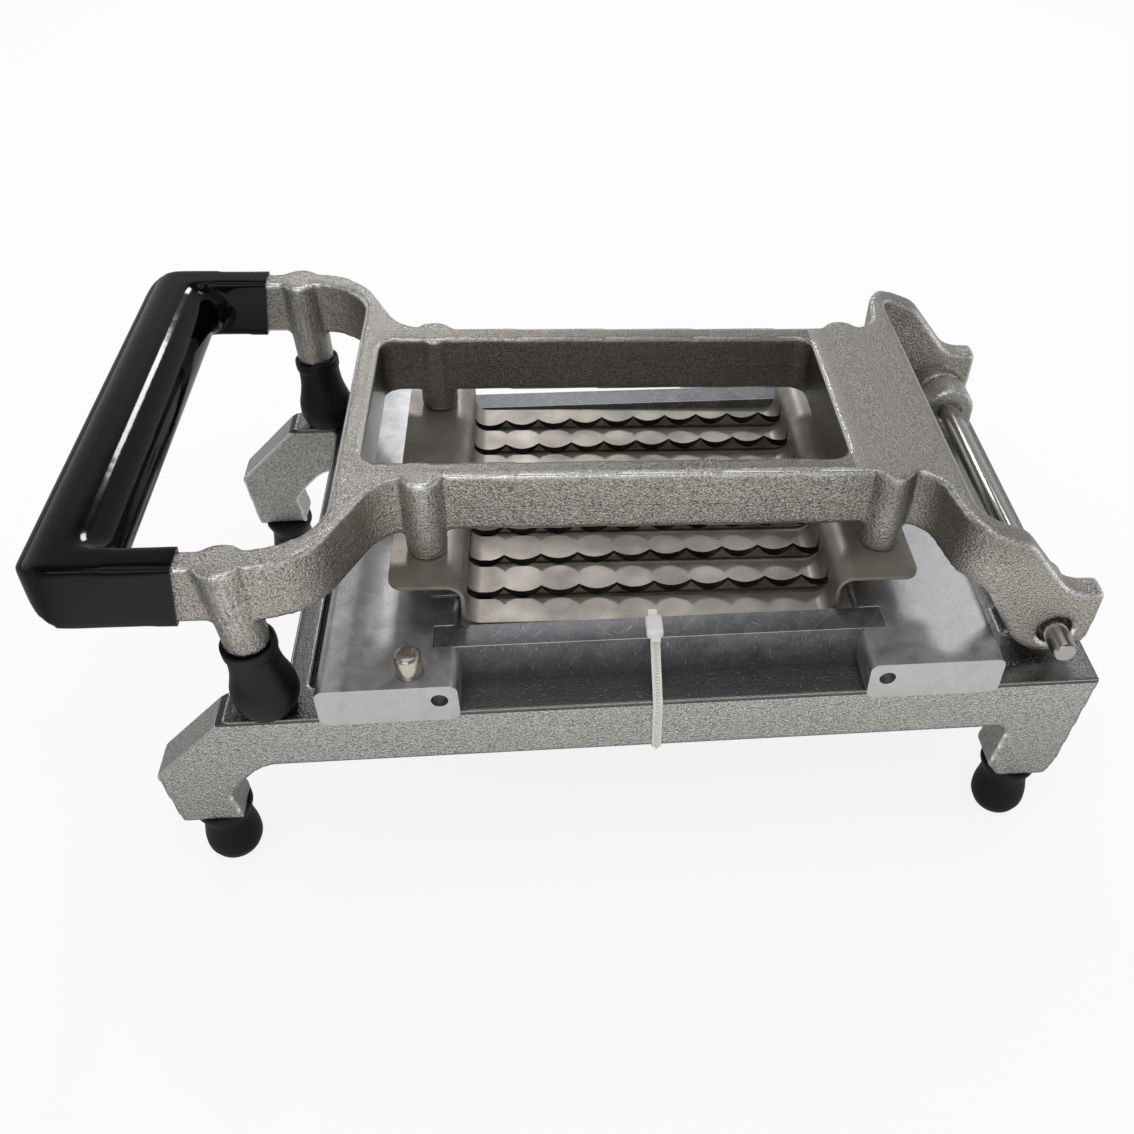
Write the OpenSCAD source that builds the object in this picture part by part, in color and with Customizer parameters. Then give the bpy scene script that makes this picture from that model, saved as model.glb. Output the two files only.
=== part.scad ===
// Manual meat dicer: a hand lever that presses boned meat through a row of upright blades.
// Millimetres, Z up. The grip points to -X, the hinge is at +X, the object mirrors about Y = 0.
// The lever is drawn level and then tipped to its rest angle about the hinge.

/* [Base casting] */
// Half the depth over the side rails
base_half_depth = 101.6; // [98:0.1:106]
// Width of a side rail and of its legs
rail_width = 16.6; // [14:0.1:18]
// Height of the rail section
rail_height = 26; // [22:0.5:30]
// Length of a leg below the rail
leg_length = 33; // [26:0.5:40]
// Right end of the base
base_right_x = 196.4; // [193.5:0.1:198.5]
// Knee of the left legs, the leftmost point of the base
knee_x = -173; // [-176.5:0.1:-168.5]
// Top of the slope over the left legs
slope_top_x = -143.2; // [-145.5:0.1:-141.5]
// Width of a leg where it meets its foot
leg_foot_width = 23.4; // [22:0.1:25]
// Left edge of the bridge under the left block
bridge_left_x = -121.2; // [-123.5:0.1:-116.5]
// Width of the raised lip of that bridge
lip_width = 10; // [6:0.5:13]
// Drop from the lip to the shelf under the block
shelf_drop = 4; // [2:0.5:6]
// Thickness of the shelf and of the hinge deck
deck_thickness = 9; // [7:0.5:12]
// Width of the ribs under the shelf and the deck
rib_width = 9; // [7:0.5:12]

/* [Feet and stops] */
// Height of a foot
foot_height = 29; // [24:0.5:34]
// Radius of a foot at its flare
foot_flare_radius = 11.4; // [11:0.1:13]
// Radius of a foot at its waist
foot_waist_radius = 9.7; // [9:0.1:10.2]
// Radius of a foot at its top rim
foot_rim_radius = 12.8; // [12:0.1:13.5]
// Centre of the left feet
foot_left_x = -156.2; // [-157.5:0.1:-154.5]
// Centre of the right feet
foot_right_x = 176.3; // [174.5:0.1:178.5]
// Thickness of rubber between a screw head and the leg
foot_grip_length = 14; // [10:0.5:18]
// Radius of a stop at its flare
stop_flare_radius = 12.6; // [12:0.1:13.5]
// Radius of a stop at its waist
stop_waist_radius = 9.5; // [9:0.1:10]
// Radius of a stop at its top rim
stop_rim_radius = 10.1; // [9.8:0.1:11]
// Gap left under the middle of a stop at rest
stop_gap = 0.9; // [0.8:0.05:1.2]

/* [Blade cassette] */
// Number of blades
blade_count = 7; // [5:2:7]
// Distance between neighbouring blades
blade_spacing = 19; // [17:0.5:20.5]
// Thickness of a blade
blade_thickness = 1; // [0.8:0.1:1.4]
// Height of the blade tips above the rail tops
blade_tip_height = 21.5; // [20:0.1:23]
// Height of the plain blade ends above the rail tops
blade_end_height = 17.5; // [15:0.1:18]
// Number of scallops along a blade
scallop_count = 10; // [8:1:10]
// Length of one scallop
scallop_pitch = 14.9; // [14:0.1:15]
// Depth of one scallop
scallop_depth = 2.9; // [2:0.1:4]
// Height of the ground bevel on the front of each blade
bevel_height = 2.3; // [1.5:0.1:3]
// Middle of the scalloped edge
scallop_centre_x = 23.4; // [22.5:0.1:25]
// Middle of the cassette
cassette_centre_x = 24.2; // [23.8:0.1:24.8]
// Half the clear length between the two blocks
clear_half_length = 77.2; // [76.8:0.1:79]
// Width of a block along X
block_width = 52; // [48:0.5:53]
// Height of a block
block_height = 18.2; // [18:0.1:20]
// Overhang of a block end past the outer face of its rail
block_overhang = 3.4; // [1:0.1:6]
// Radius on the long edges of a block
block_edge_radius = 3.5; // [2:0.5:5]
// Diameter of the rods through the blade ends
blade_rod_diameter = 6.35; // [5:0.05:8]
// Height of those rods above the rail tops
blade_rod_height = 10.75; // [9:0.05:11.5]
// Distance of those rods behind the block faces
blade_rod_inset = 7; // [6:0.1:8]
// Depth of a rod end below the end face of its block
blade_rod_recess = 7; // [3:0.5:9]
// Inner face of the front and rear bars
bar_inner_y = 73.4; // [72.9:0.1:74]
// Thickness of those bars
bar_thickness = 11.4; // [9:0.1:13]
// Height of those bars
bar_height = 18; // [16:0.1:18]
// Reach of the ledge under each bar from the rail
bar_ledge_reach = 5; // [3:0.5:6]
// Thickness of that ledge
bar_ledge_thickness = 3; // [2:0.5:4]
// Depth of the notch that takes a bar end
bar_notch_depth = 9.85; // [8:0.05:12]
// Diameter of a locating pin
pin_diameter = 10; // [8:0.1:11]
// Diameter of the shank that holds a pin in its rail
pin_shank_diameter = 6; // [5:0.5:7]
// Height of a locating pin above the rail tops
pin_height = 28; // [24:0.5:30]
// Distance of the locating pins behind the inner face of the left block
pin_inset = 17.6; // [17:0.1:21]
// Distance of the locating pins from the outer faces of the rails
pin_edge_distance = 5.1; // [5:0.1:7]

/* [Hinge] */
// Position of the hinge axis along X
hinge_x = 177.8; // [175.5:0.1:179.5]
// Height of the hinge axis above the rail tops
hinge_height = 16.1; // [15:0.1:18]
// Diameter of the hinge rod
hinge_rod_diameter = 9.5; // [8:0.1:11]
// Set-back of the hinge rod's ends from the outer faces of the rails
hinge_rod_setback = 0.1; // [0:0.1:6]
// Radial clearance of the rod in the lever
hinge_clearance = 0.05; // [0.02:0.01:0.1]
// Radius of a hinge lug
lug_radius = 12; // [11:0.5:14]
// Width of a hinge lug
lug_width = 14.5; // [12:0.5:16]
// Gap between a hinge lug and the ear beside it
lug_gap = 5.1; // [3:0.1:7]
// Angle of the lever at rest, from level
rest_angle = 1.66; // [1:0.01:2.5]

/* [Lever casting] */
// Height of the lever top above the hinge axis
lever_rise = 51.6; // [48:0.1:54]
// Depth of the lever's ribs
lever_depth = 26.5; // [24:0.5:29]
// Rise of the arms' undersides from the window frame to the grip
arm_rise = 1.6; // [0:0.1:2.5]
// Set-back of the two arms from the outer faces of the rails
arm_setback = 1; // [0:0.1:2.5]
// Thickness of the two arms
arm_thickness = 10.3; // [8:0.1:12]
// Outer face of the window frame
frame_outer_y = 52.6; // [51:0.1:54]
// Thickness of the window frame
frame_thickness = 9.3; // [8:0.1:11]
// Left end of the window
window_left_x = -87.5; // [-89.5:0.1:-85.5]
// Right end of the window
window_right_x = 98.3; // [95.5:0.1:100.5]
// Radius of the window corners
window_radius = 7; // [3:0.5:12]
// Thickness of the bar between window and hand opening
cross_bar_width = 8.8; // [7:0.1:11]
// Radius of the right corners of the hand opening
opening_radius = 24; // [18:0.5:28]
// Right edge of the web plate
web_right_x = 139.1; // [137.5:0.1:140.5]
// Thickness of the web plate
web_thickness = 9; // [6:0.5:12]
// Width of the rib between window and web plate
web_rib_width = 8; // [6:0.5:10]
// Set-back of the hinge ears from the outer faces of the rails
ear_setback = 12; // [10:0.1:14]
// Thickness of the hinge ears
ear_thickness = 10; // [8:0.1:11]
// Radius of the recess around the rod in each ear
ear_recess_radius = 7; // [5.7:0.1:7.5]
// Depth of that recess
ear_recess_depth = 5; // [2:0.5:7]
// Reach of an ear past the hinge axis
ear_reach = 14.6; // [12:0.1:15]
// Drop of an ear's heel below the hinge axis
ear_drop = 12.2; // [10:0.1:12.5]
// Rise of an ear's toe above the hinge axis
ear_toe_rise = 20.2; // [18:0.1:23]
// Start of the heel's curve ahead of the hinge axis
heel_start = 34.5; // [32:0.5:37]
// Start of the fall to the ears ahead of the hinge axis
fall_start = 38.5; // [37:0.5:42]
// Foot of that fall ahead of the hinge axis
fall_foot = 20.5; // [19:0.5:23]
// Drop of the lever's top at the foot of that fall
fall_drop = 6.5; // [5:0.5:8]
// Position of the stop posts along X, at the lever top
post_x = -128.6; // [-130.5:0.1:-126.5]
// Distance of the stop posts inside the outer faces of the rails, at the lever top
post_inset = 5.6; // [5:0.1:8]
// Lean of the stop posts towards the hinge on their way down
post_lean = 3.1; // [1.5:0.1:4]
// Lean of the stop posts towards the middle on their way down
post_splay = 2.7; // [0:0.1:3]
// Length of a stop post below the lever top
post_length = 41.8; // [38:0.1:44]
// Radius of a stop post at its lower end
post_radius = 8.3; // [8:0.1:9]
// Position of the left pan bosses along X
boss_left_x = -65.1; // [-66.5:0.1:-63.5]
// Position of the right pan bosses along X
boss_right_x = 113.7; // [111.5:0.1:115.5]
// Position of the pan bosses along Y
boss_y = 49.9; // [48:0.1:51]
// Radius of the pan bosses
boss_radius = 8; // [7:0.1:9]
// Length of the pan bosses below the lever top
boss_length = 37.2; // [35:0.1:39]

/* [Grip] */
// Left end of the grip
grip_left_x = -197.8; // [-200.5:0.1:-195.5]
// Width of the grip bar
grip_width = 32.1; // [30:0.1:36]
// Right end of the grip's sleeves
grip_end_x = -142.4; // [-144.5:0.1:-140.5]
// Lean of the sleeves' ends, from top to bottom
grip_end_lean = 3.4; // [0:0.1:5]
// Thickness of the dipped coat
coat = 1.2; // [0.8:0.1:2]
// Outer corner radius of the grip
grip_corner_radius = 18; // [14:0.5:24]
// Inner corner radius of the grip
grip_inner_radius = 9; // [6:0.5:12]

/* [Pusher pan] */
// Thickness of the sheet
pan_thickness = 1.5; // [1:0.1:2]
// Half the depth of the pan
pan_half_depth = 72; // [70:0.1:72]
// Inner face of the left wall
pan_left_x = -50.6; // [-50.8:0.1:-47.5]
// Inner face of the right wall
pan_right_x = 93.3; // [90.5:0.1:95.5]
// Depth of the pan from its flanges to its floor
pan_depth = 19.4; // [18:0.1:20]
// Reach of a flange past the left bosses
flange_left_reach = 13.9; // [10:0.1:15]
// Reach of a flange past the right bosses
flange_right_reach = 11.8; // [10:0.1:13]
// Inner radius of the bends
bend_radius = 5.5; // [3:0.5:6]
// Corner radius of the flanges
flange_corner_radius = 6; // [3:0.5:9]
// Width of a slot in the pan
slot_width = 4; // [3:0.1:6]
// Distance from the flange top down to the slot ends
slot_top_drop = 7.6; // [7:0.1:9]

/* [Cable tie] */
// Middle of the tie along X
tie_x = 21.4; // [-2.5:0.1:57.5]
// Width of the strap
tie_width = 3.7; // [2.5:0.1:5]
// Thickness of the strap
tie_thickness = 0.9; // [0.7:0.1:1]
// Width of the tie's head
tie_head_width = 6.5; // [5:0.1:8]
// Length of the tie's head
tie_head_length = 10; // [8:0.1:11]
// Height of the tie's head above the bar
tie_head_height = 4.6; // [3:0.1:6]

/* [Screws] */
// Shank diameter of the screws in the feet and stops
foot_screw_diameter = 6; // [5:0.5:6]
// Shank diameter of the screws in the pan
pan_screw_diameter = 5; // [4:0.5:6]
// Engagement of every screw in its casting
screw_engagement = 13; // [10:0.5:16]

/* [Hidden] */
$fn = 64;
fit_gap = 0.1;
tie_gap = 0.05;
sole_inset = 2;
trace_step = 5;
overlap = 4;

rail_inner_y = base_half_depth - rail_width;
leg_bottom_z = foot_height;
rail_bottom_z = leg_bottom_z + leg_length;
base_top_z = rail_bottom_z + rail_height;
foot_y = base_half_depth - rail_width / 2 - 2.1;
leg_left_inner_x = foot_left_x + leg_foot_width / 2 - 1;
leg_right_inner_x = foot_right_x - leg_foot_width / 2 - 2.4;
end_lean = 0.1;
function end_x(z) = base_right_x - end_lean * (base_top_z - z);

block_half_length = base_half_depth + block_overhang;
block_left_x = cassette_centre_x - clear_half_length - block_width;
block_right_x = cassette_centre_x + clear_half_length;
block_top_z = base_top_z + block_height;
rod_left_x = cassette_centre_x - clear_half_length - blade_rod_inset;
rod_right_x = cassette_centre_x + clear_half_length + blade_rod_inset;
blade_rod_z = base_top_z + blade_rod_height;
blade_rod_radius = blade_rod_diameter / 2;
blade_reach = clear_half_length + blade_rod_inset + 4.5;
blade_bottom_z = base_top_z + 0.6;
blade_tip_z = base_top_z + blade_tip_height;
blade_end_z = base_top_z + blade_end_height;
blade_half_count = (blade_count - 1) / 2;
bar_reach = clear_half_length + bar_notch_depth;
bar_top_z = base_top_z + bar_height;
bar_outer_y = bar_inner_y + bar_thickness;
pin_x = cassette_centre_x - clear_half_length - pin_inset;
pin_y = base_half_depth - pin_edge_distance;
bridge_right_x = cassette_centre_x - clear_half_length - 2;
deck_left_x = cassette_centre_x + clear_half_length + 3;

hinge_z = base_top_z + hinge_height;
hinge_rod_radius = hinge_rod_diameter / 2;
hinge_rod_half_length = base_half_depth - hinge_rod_setback;
ear_outer_y = base_half_depth - ear_setback;
ear_inner_y = ear_outer_y - ear_thickness;
lug_outer_y = ear_inner_y - lug_gap;
lug_inner_y = lug_outer_y - lug_width;
lever_top_z = hinge_z + lever_rise;
lever_bottom_z = lever_top_z - lever_depth;
arm_outer_y = base_half_depth - arm_setback;
arm_inner_y = arm_outer_y - arm_thickness;
frame_inner_y = frame_outer_y - frame_thickness;
ear_boss_face_y = lug_outer_y + 2.5;
ear_heel_radius = 12;
ear_bottom_z = hinge_z - ear_drop;
ear_right_x = hinge_x + ear_reach;
opening_right_x = window_left_x - cross_bar_width;
post_y = base_half_depth - post_inset;
arm_bottom_z = lever_bottom_z + arm_rise;
boss_bottom_z = lever_top_z - boss_length;
arm_start_x = grip_end_x - 12;

stop_reach = hinge_x - post_x;
post_top_z = hinge_z + stop_reach * sin(rest_angle) + lever_rise * cos(rest_angle);
stop_drop = (post_top_z - base_top_z - stop_gap) / (cos(post_splay) * cos(post_lean - rest_angle));
stop_height = stop_drop - post_length;

grip_right_x = grip_left_x + grip_width;
grip_top_z = lever_top_z + coat;
grip_bottom_z = arm_bottom_z - coat;
grip_radius = (grip_top_z - grip_bottom_z) / 2;
grip_middle_z = (grip_top_z + grip_bottom_z) / 2;

flange_top_z = boss_bottom_z;
flange_bottom_z = flange_top_z - pan_thickness;
pan_floor_z = flange_top_z - pan_depth;
flange_left_x = boss_left_x - flange_left_reach;
flange_right_x = boss_right_x + flange_right_reach;
slot_centre_z = flange_top_z - slot_top_drop - slot_width / 2;

foot_screw_radius = foot_screw_diameter / 2;
foot_head_radius = foot_screw_radius + 2.2;
foot_head_height = 4;
pan_screw_radius = pan_screw_diameter / 2;
pan_head_radius = pan_screw_radius + 2.2;
pan_head_height = 3;

// Shared shapes

function unit(v) = v / norm(v);
function cross_z(a, b) = a[0] * b[1] - a[1] * b[0];
function area_sum(p, i = 0) =
    i >= len(p) ? 0 : cross_z(p[i], p[(i + 1) % len(p)]) + area_sum(p, i + 1);
function turn(a, p, b) = cross_z(p - a, b - p);
function mirrored(p) = [for (i = [len(p) - 1 : -1 : 0]) [p[i][0], -p[i][1]]];
function reversed(p) = [for (i = [len(p) - 1 : -1 : 0]) p[i]];
function outward(a, p, b, d) =
    let (w = unit(unit(a - p) + unit(b - p)), h = acos(unit(a - p) * w))
    p - w * (d / sin(h));
function grown(p, d) =
    [for (i = [0 : len(p) - 1]) outward(p[(i + len(p) - 1) % len(p)], p[i], p[(i + 1) % len(p)], d)];

// The slice of a circle that fills or hollows a corner between its two tangent points
module corner_slice(a, p, b, r) {
    w = unit(unit(a - p) + unit(b - p));
    half = acos(unit(a - p) * w);
    centre = p + w * (r / sin(half));
    reach = r / tan(half);
    intersection() {
        translate(centre) circle(r = r);
        polygon([
            centre,
            centre + 2 * (p + unit(a - p) * reach - centre),
            centre + 2 * (p - centre),
            centre + 2 * (p + unit(b - p) * reach - centre)
        ]);
    }
}

function cut_corner(a, p, b, r) =
    let (w = unit(unit(a - p) + unit(b - p)), reach = r / tan(acos(unit(a - p) * w)))
    r > 0 ? [p + unit(a - p) * reach, p + unit(b - p) * reach] : [p];
function cut_corners(pts, radii) =
    let (n = len(pts))
    [for (i = [0 : n - 1])
        for (q = cut_corner(pts[(i + n - 1) % n], pts[i], pts[(i + 1) % n], radii[i])) q];

// A polygon whose corners are rounded by true arcs, radius 0 leaves one sharp
module rounded(pts, radii) {
    n = len(pts);
    side = sign(area_sum(pts));
    difference() {
        union() {
            polygon(cut_corners(pts, radii));
            for (i = [0 : n - 1])
                if (radii[i] > 0 && side * turn(pts[(i + n - 1) % n], pts[i], pts[(i + 1) % n]) > 0)
                    corner_slice(pts[(i + n - 1) % n], pts[i], pts[(i + 1) % n], radii[i]);
        }
        for (i = [0 : n - 1])
            if (radii[i] > 0 && side * turn(pts[(i + n - 1) % n], pts[i], pts[(i + 1) % n]) < 0)
                corner_slice(pts[(i + n - 1) % n], pts[i], pts[(i + 1) % n], radii[i]);
    }
}

function corner_angle(a, p, b) = 180 - acos(unit(a - p) * unit(b - p));
function traced_corner(a, p, b, r) =
    let (
        w = unit(unit(a - p) + unit(b - p)),
        half = acos(unit(a - p) * w),
        centre = p + w * (r / sin(half)),
        start = p + unit(a - p) * (r / tan(half)) - centre,
        first = atan2(start[1], start[0]),
        sweep = sign(turn(a, p, b)) * corner_angle(a, p, b),
        steps = ceil(corner_angle(a, p, b) / trace_step)
    )
    r > 0
        ? [for (j = [0 : steps])
            centre + r * [cos(first + sweep * j / steps), sin(first + sweep * j / steps)]]
        : [p];

// The long flowing outlines of the lever, traced in short straight steps
module traced(pts, radii) {
    n = len(pts);
    polygon([for (i = [0 : n - 1])
        for (q = traced_corner(pts[(i + n - 1) % n], pts[i], pts[(i + 1) % n], radii[i])) q]);
}

module rounded_rectangle(x0, x1, y0, y1, r) {
    rounded([[x0, y0], [x1, y0], [x1, y1], [x0, y1]], [r, r, r, r]);
}

// A drawing in X and Z, extruded along Y from y0 to y1
module along_y(y0, y1) {
    translate([0, y1, 0])
        rotate([90, 0, 0])
            linear_extrude(height = y1 - y0, convexity = 10)
                children();
}

module both_sides() {
    children();
    mirror([0, 1, 0]) children();
}

module box(x0, x1, y0, y1, z0, z1) {
    translate([x0, y0, z0]) cube([x1 - x0, y1 - y0, z1 - z0]);
}

module rod_y(x, z, r, y0, y1) {
    translate([x, y0, z])
        rotate([-90, 0, 0])
            cylinder(h = y1 - y0, r = r);
}

module rod_z(x, y, r, z0, z1) {
    translate([x, y, z0]) cylinder(h = z1 - z0, r = r);
}

// Tips the level lever to its rest angle
module at_rest() {
    translate([hinge_x, 0, hinge_z])
        rotate([0, rest_angle, 0])
            translate([-hinge_x, 0, -hinge_z])
                children();
}

// A rubber foot or stop from z = 0 up, with a recess for its screw head
module rubber_foot(height, rim, waist, flare, head_z) {
    rotate_extrude() {
        difference() {
            rounded([
                [0, 0],
                [flare - sole_inset, 0],
                [flare, height * 0.24],
                [waist, height * 0.5],
                [rim, height * 0.93],
                [rim, height],
                [0, height]
            ], [0, 1.5, 10, 14, 1.5, 0.6, 0]);
            translate([0, -1]) square([foot_head_radius + 0.6, head_z + 1]);
            translate([0, -1]) square([foot_screw_radius + fit_gap, height + 2]);
        }
    }
}

// A socket screw that points up, with the underside of its head at z = 0
module screw_up(radius, head_radius, head_height, length) {
    difference() {
        union() {
            translate([0, 0, -head_height / 4]) cylinder(h = length + head_height / 4, r = radius);
            translate([0, 0, -head_height]) cylinder(h = head_height, r = head_radius);
        }
        translate([0, 0, -head_height - 1]) cylinder(h = head_height * 0.6 + 1, r = radius * 0.95, $fn = 6);
    }
}

// Base casting

module rail_profile() {
    rounded([
        [knee_x, leg_bottom_z + 30],
        [knee_x + 2.9, leg_bottom_z],
        [leg_left_inner_x, leg_bottom_z],
        [leg_left_inner_x - 2.2, leg_bottom_z + 15.5],
        [leg_left_inner_x + 3, rail_bottom_z - 10.5],
        [leg_left_inner_x + 13.8, rail_bottom_z],
        [leg_right_inner_x + 3.5, rail_bottom_z],
        [leg_right_inner_x, leg_bottom_z + 8],
        [leg_right_inner_x + 6, leg_bottom_z],
        [end_x(leg_bottom_z + 10) - 3, leg_bottom_z],
        [end_x(leg_bottom_z + 10), leg_bottom_z + 10],
        [base_right_x, base_top_z],
        [slope_top_x, base_top_z]
    ], [4, 2, 1, 3, 6, 14, 5, 2, 2, 3, 6, 0, 8]);
}

module bridge_profile() {
    rounded([
        [bridge_left_x, rail_bottom_z],
        [bridge_left_x + lip_width, rail_bottom_z],
        [bridge_left_x + lip_width, base_top_z - shelf_drop - deck_thickness],
        [bridge_right_x - rib_width, base_top_z - shelf_drop - deck_thickness],
        [bridge_right_x - rib_width, rail_bottom_z],
        [bridge_right_x, rail_bottom_z],
        [bridge_right_x, base_top_z - shelf_drop],
        [bridge_left_x + lip_width, base_top_z - shelf_drop],
        [bridge_left_x + lip_width, base_top_z],
        [bridge_left_x, base_top_z]
    ], [1, 1, 3, 3, 1, 1, 1, 2, 1, 1]);
}

module deck_profile() {
    rounded([
        [deck_left_x, rail_bottom_z],
        [deck_left_x + rib_width, rail_bottom_z],
        [deck_left_x + rib_width, base_top_z - deck_thickness],
        [end_x(base_top_z - deck_thickness) - rib_width, base_top_z - deck_thickness],
        [end_x(rail_bottom_z) - rib_width, rail_bottom_z],
        [end_x(rail_bottom_z), rail_bottom_z],
        [base_right_x, base_top_z],
        [deck_left_x, base_top_z]
    ], [1, 1, 3, 3, 1, 0, 0, 1]);
}

module lug_profile() {
    translate([hinge_x, hinge_z]) circle(r = lug_radius);
    translate([hinge_x - lug_radius, base_top_z - 2]) square([2 * lug_radius, hinge_height + 2]);
}

module base_casting() {
    color("silver")
    difference() {
        union() {
            both_sides() along_y(rail_inner_y, base_half_depth) rail_profile();
            along_y(-rail_inner_y - overlap, rail_inner_y + overlap) bridge_profile();
            along_y(-rail_inner_y - overlap, rail_inner_y + overlap) deck_profile();
            both_sides() along_y(lug_inner_y, lug_outer_y) lug_profile();
            both_sides()
                box(
                    block_left_x + block_width - overlap, block_right_x + overlap,
                    rail_inner_y - bar_ledge_reach, rail_inner_y + overlap,
                    base_top_z - bar_ledge_thickness, base_top_z
                );
        }
        rod_y(hinge_x, hinge_z, hinge_rod_radius, -base_half_depth, base_half_depth);
        for (x = [foot_left_x, foot_right_x], y = [-foot_y, foot_y])
            rod_z(x, y, foot_screw_radius, leg_bottom_z - 1, leg_bottom_z + screw_engagement + 2);
        for (y = [-pin_y, pin_y])
            rod_z(pin_x, y, pin_shank_diameter / 2, base_top_z - screw_engagement, base_top_z + 1);
    }
}

// Feet and their screws

module foot(x, y) {
    color("dimgray")
        translate([x, y, 0])
            rubber_foot(
                foot_height, foot_rim_radius, foot_waist_radius, foot_flare_radius,
                foot_height - foot_grip_length
            );
}

module foot_front_left() {
    foot(foot_left_x, -foot_y);
}

module foot_front_right() {
    foot(foot_right_x, -foot_y);
}

module foot_rear_left() {
    foot(foot_left_x, foot_y);
}

module foot_rear_right() {
    foot(foot_right_x, foot_y);
}

module foot_screws() {
    color("gainsboro")
        for (x = [foot_left_x, foot_right_x], y = [-foot_y, foot_y])
            translate([x, y, foot_height - foot_grip_length])
                screw_up(
                    foot_screw_radius, foot_head_radius, foot_head_height,
                    foot_grip_length + screw_engagement
                );
}

// Blade cassette

module block(x0, face_x, notch) {
    difference() {
        along_y(-block_half_length, block_half_length)
            rounded_rectangle(x0, x0 + block_width, base_top_z, block_top_z, block_edge_radius);
        both_sides()
            box(
                min(face_x, face_x + notch * bar_notch_depth) - (notch > 0 ? 1 : 0),
                max(face_x, face_x + notch * bar_notch_depth) + (notch > 0 ? 0 : 1),
                bar_inner_y, bar_outer_y, base_top_z - 1, block_top_z + 1
            );
        for (k = [-blade_half_count : blade_half_count])
            box(
                min(face_x, face_x + notch * (blade_rod_inset + 5.5)) - (notch > 0 ? 1 : 0),
                max(face_x, face_x + notch * (blade_rod_inset + 5.5)) + (notch > 0 ? 0 : 1),
                k * blade_spacing - blade_thickness / 2 - fit_gap,
                k * blade_spacing + blade_thickness / 2 + fit_gap,
                base_top_z - 1, block_top_z + 1
            );
        rod_y(
            face_x + notch * blade_rod_inset, blade_rod_z, blade_rod_radius,
            -block_half_length - 1, block_half_length + 1
        );
    }
}

module left_block() {
    color("lightgray")
        difference() {
            block(block_left_x, block_left_x + block_width, -1);
            for (y = [-pin_y, pin_y])
                rod_z(pin_x, y, pin_diameter / 2 + fit_gap, base_top_z - 1, block_top_z + 1);
        }
}

module right_block() {
    color("lightgray") block(block_right_x, block_right_x, 1);
}

module bar() {
    difference() {
        along_y(bar_inner_y, bar_outer_y)
            rounded_rectangle(
                cassette_centre_x - bar_reach, cassette_centre_x + bar_reach,
                base_top_z, bar_top_z, 0.6
            );
        for (x = [rod_left_x, rod_right_x])
            rod_y(x, blade_rod_z, blade_rod_radius + fit_gap, 0, base_half_depth);
    }
}

module front_bar() {
    color("lightgray") mirror([0, 1, 0]) bar();
}

module rear_bar() {
    color("lightgray") bar();
}

module blade_rod(x) {
    color("gainsboro")
        rod_y(
            x, blade_rod_z, blade_rod_radius,
            -block_half_length + blade_rod_recess, block_half_length - blade_rod_recess
        );
}

module left_blade_rod() {
    blade_rod(rod_left_x);
}

module right_blade_rod() {
    blade_rod(rod_right_x);
}

bevel_angle = atan(bevel_height / blade_thickness);
wheel_stretch = 1 / cos(bevel_angle);
wheel_radius = (pow(scallop_pitch / 2, 2) * wheel_stretch) / (2 * scallop_depth);
wheel_width = 14 * scallop_depth;
scallop_half_length = scallop_count * scallop_pitch / 2;

module blade_blank() {
    polygon([
        [cassette_centre_x - blade_reach, blade_bottom_z],
        [cassette_centre_x + blade_reach, blade_bottom_z],
        [cassette_centre_x + blade_reach, blade_end_z],
        [scallop_centre_x + scallop_half_length, blade_end_z],
        [scallop_centre_x + scallop_half_length, blade_tip_z],
        [scallop_centre_x - scallop_half_length, blade_tip_z],
        [scallop_centre_x - scallop_half_length, blade_end_z],
        [cassette_centre_x - blade_reach, blade_end_z]
    ]);
}

// A grinding wheel laid at the bevel angle: its tilted cylinder leaves one scallop and its bevel
module scallop_cut(x, y) {
    translate([x, y + blade_thickness / 2, blade_tip_z - scallop_depth])
        rotate([-90 + bevel_angle, 0, 0])
            translate([0, -wheel_radius, -wheel_width / 2])
                cylinder(h = wheel_width, r = wheel_radius);
}

module blade(k) {
    color("whitesmoke")
        difference() {
            along_y(
                k * blade_spacing - blade_thickness / 2,
                k * blade_spacing + blade_thickness / 2
            ) blade_blank();
            rod_y(rod_left_x, blade_rod_z, blade_rod_radius, -base_half_depth, base_half_depth);
            rod_y(rod_right_x, blade_rod_z, blade_rod_radius, -base_half_depth, base_half_depth);
            for (i = [0 : scallop_count - 1])
                scallop_cut(
                    scallop_centre_x - scallop_half_length + (i + 0.5) * scallop_pitch,
                    k * blade_spacing
                );
        }
}

module blade_1() {
    blade(-blade_half_count);
}

module blade_2() {
    blade(-blade_half_count + 1);
}

module blade_3() {
    blade(-blade_half_count + 2);
}

module blade_4() {
    blade(-blade_half_count + 3);
}

module blade_5() {
    blade(-blade_half_count + 4);
}

module blade_6() {
    blade(-blade_half_count + 5);
}

module blade_7() {
    blade(-blade_half_count + 6);
}

module locating_pins() {
    color("gainsboro")
        for (y = [-pin_y, pin_y])
            translate([pin_x, y, base_top_z])
                union() {
                    translate([0, 0, -screw_engagement])
                        cylinder(h = screw_engagement + 1, r = pin_shank_diameter / 2);
                    cylinder(h = pin_height - 1, r = pin_diameter / 2);
                    translate([0, 0, pin_height - 1])
                        cylinder(h = 1, r1 = pin_diameter / 2, r2 = pin_diameter / 2 - 0.85);
                }
}

// Hinge rod

module hinge_rod() {
    color("gainsboro")
        union() {
            rod_y(
                hinge_x, hinge_z, hinge_rod_radius,
                -hinge_rod_half_length + 1, hinge_rod_half_length - 1
            );
            both_sides()
                translate([hinge_x, hinge_rod_half_length - 1, hinge_z])
                    rotate([-90, 0, 0])
                        cylinder(h = 1, r1 = hinge_rod_radius, r2 = hinge_rod_radius - 0.8);
        }
}

// Cable tie: its strap lies round the front bar and the front rail

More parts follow.
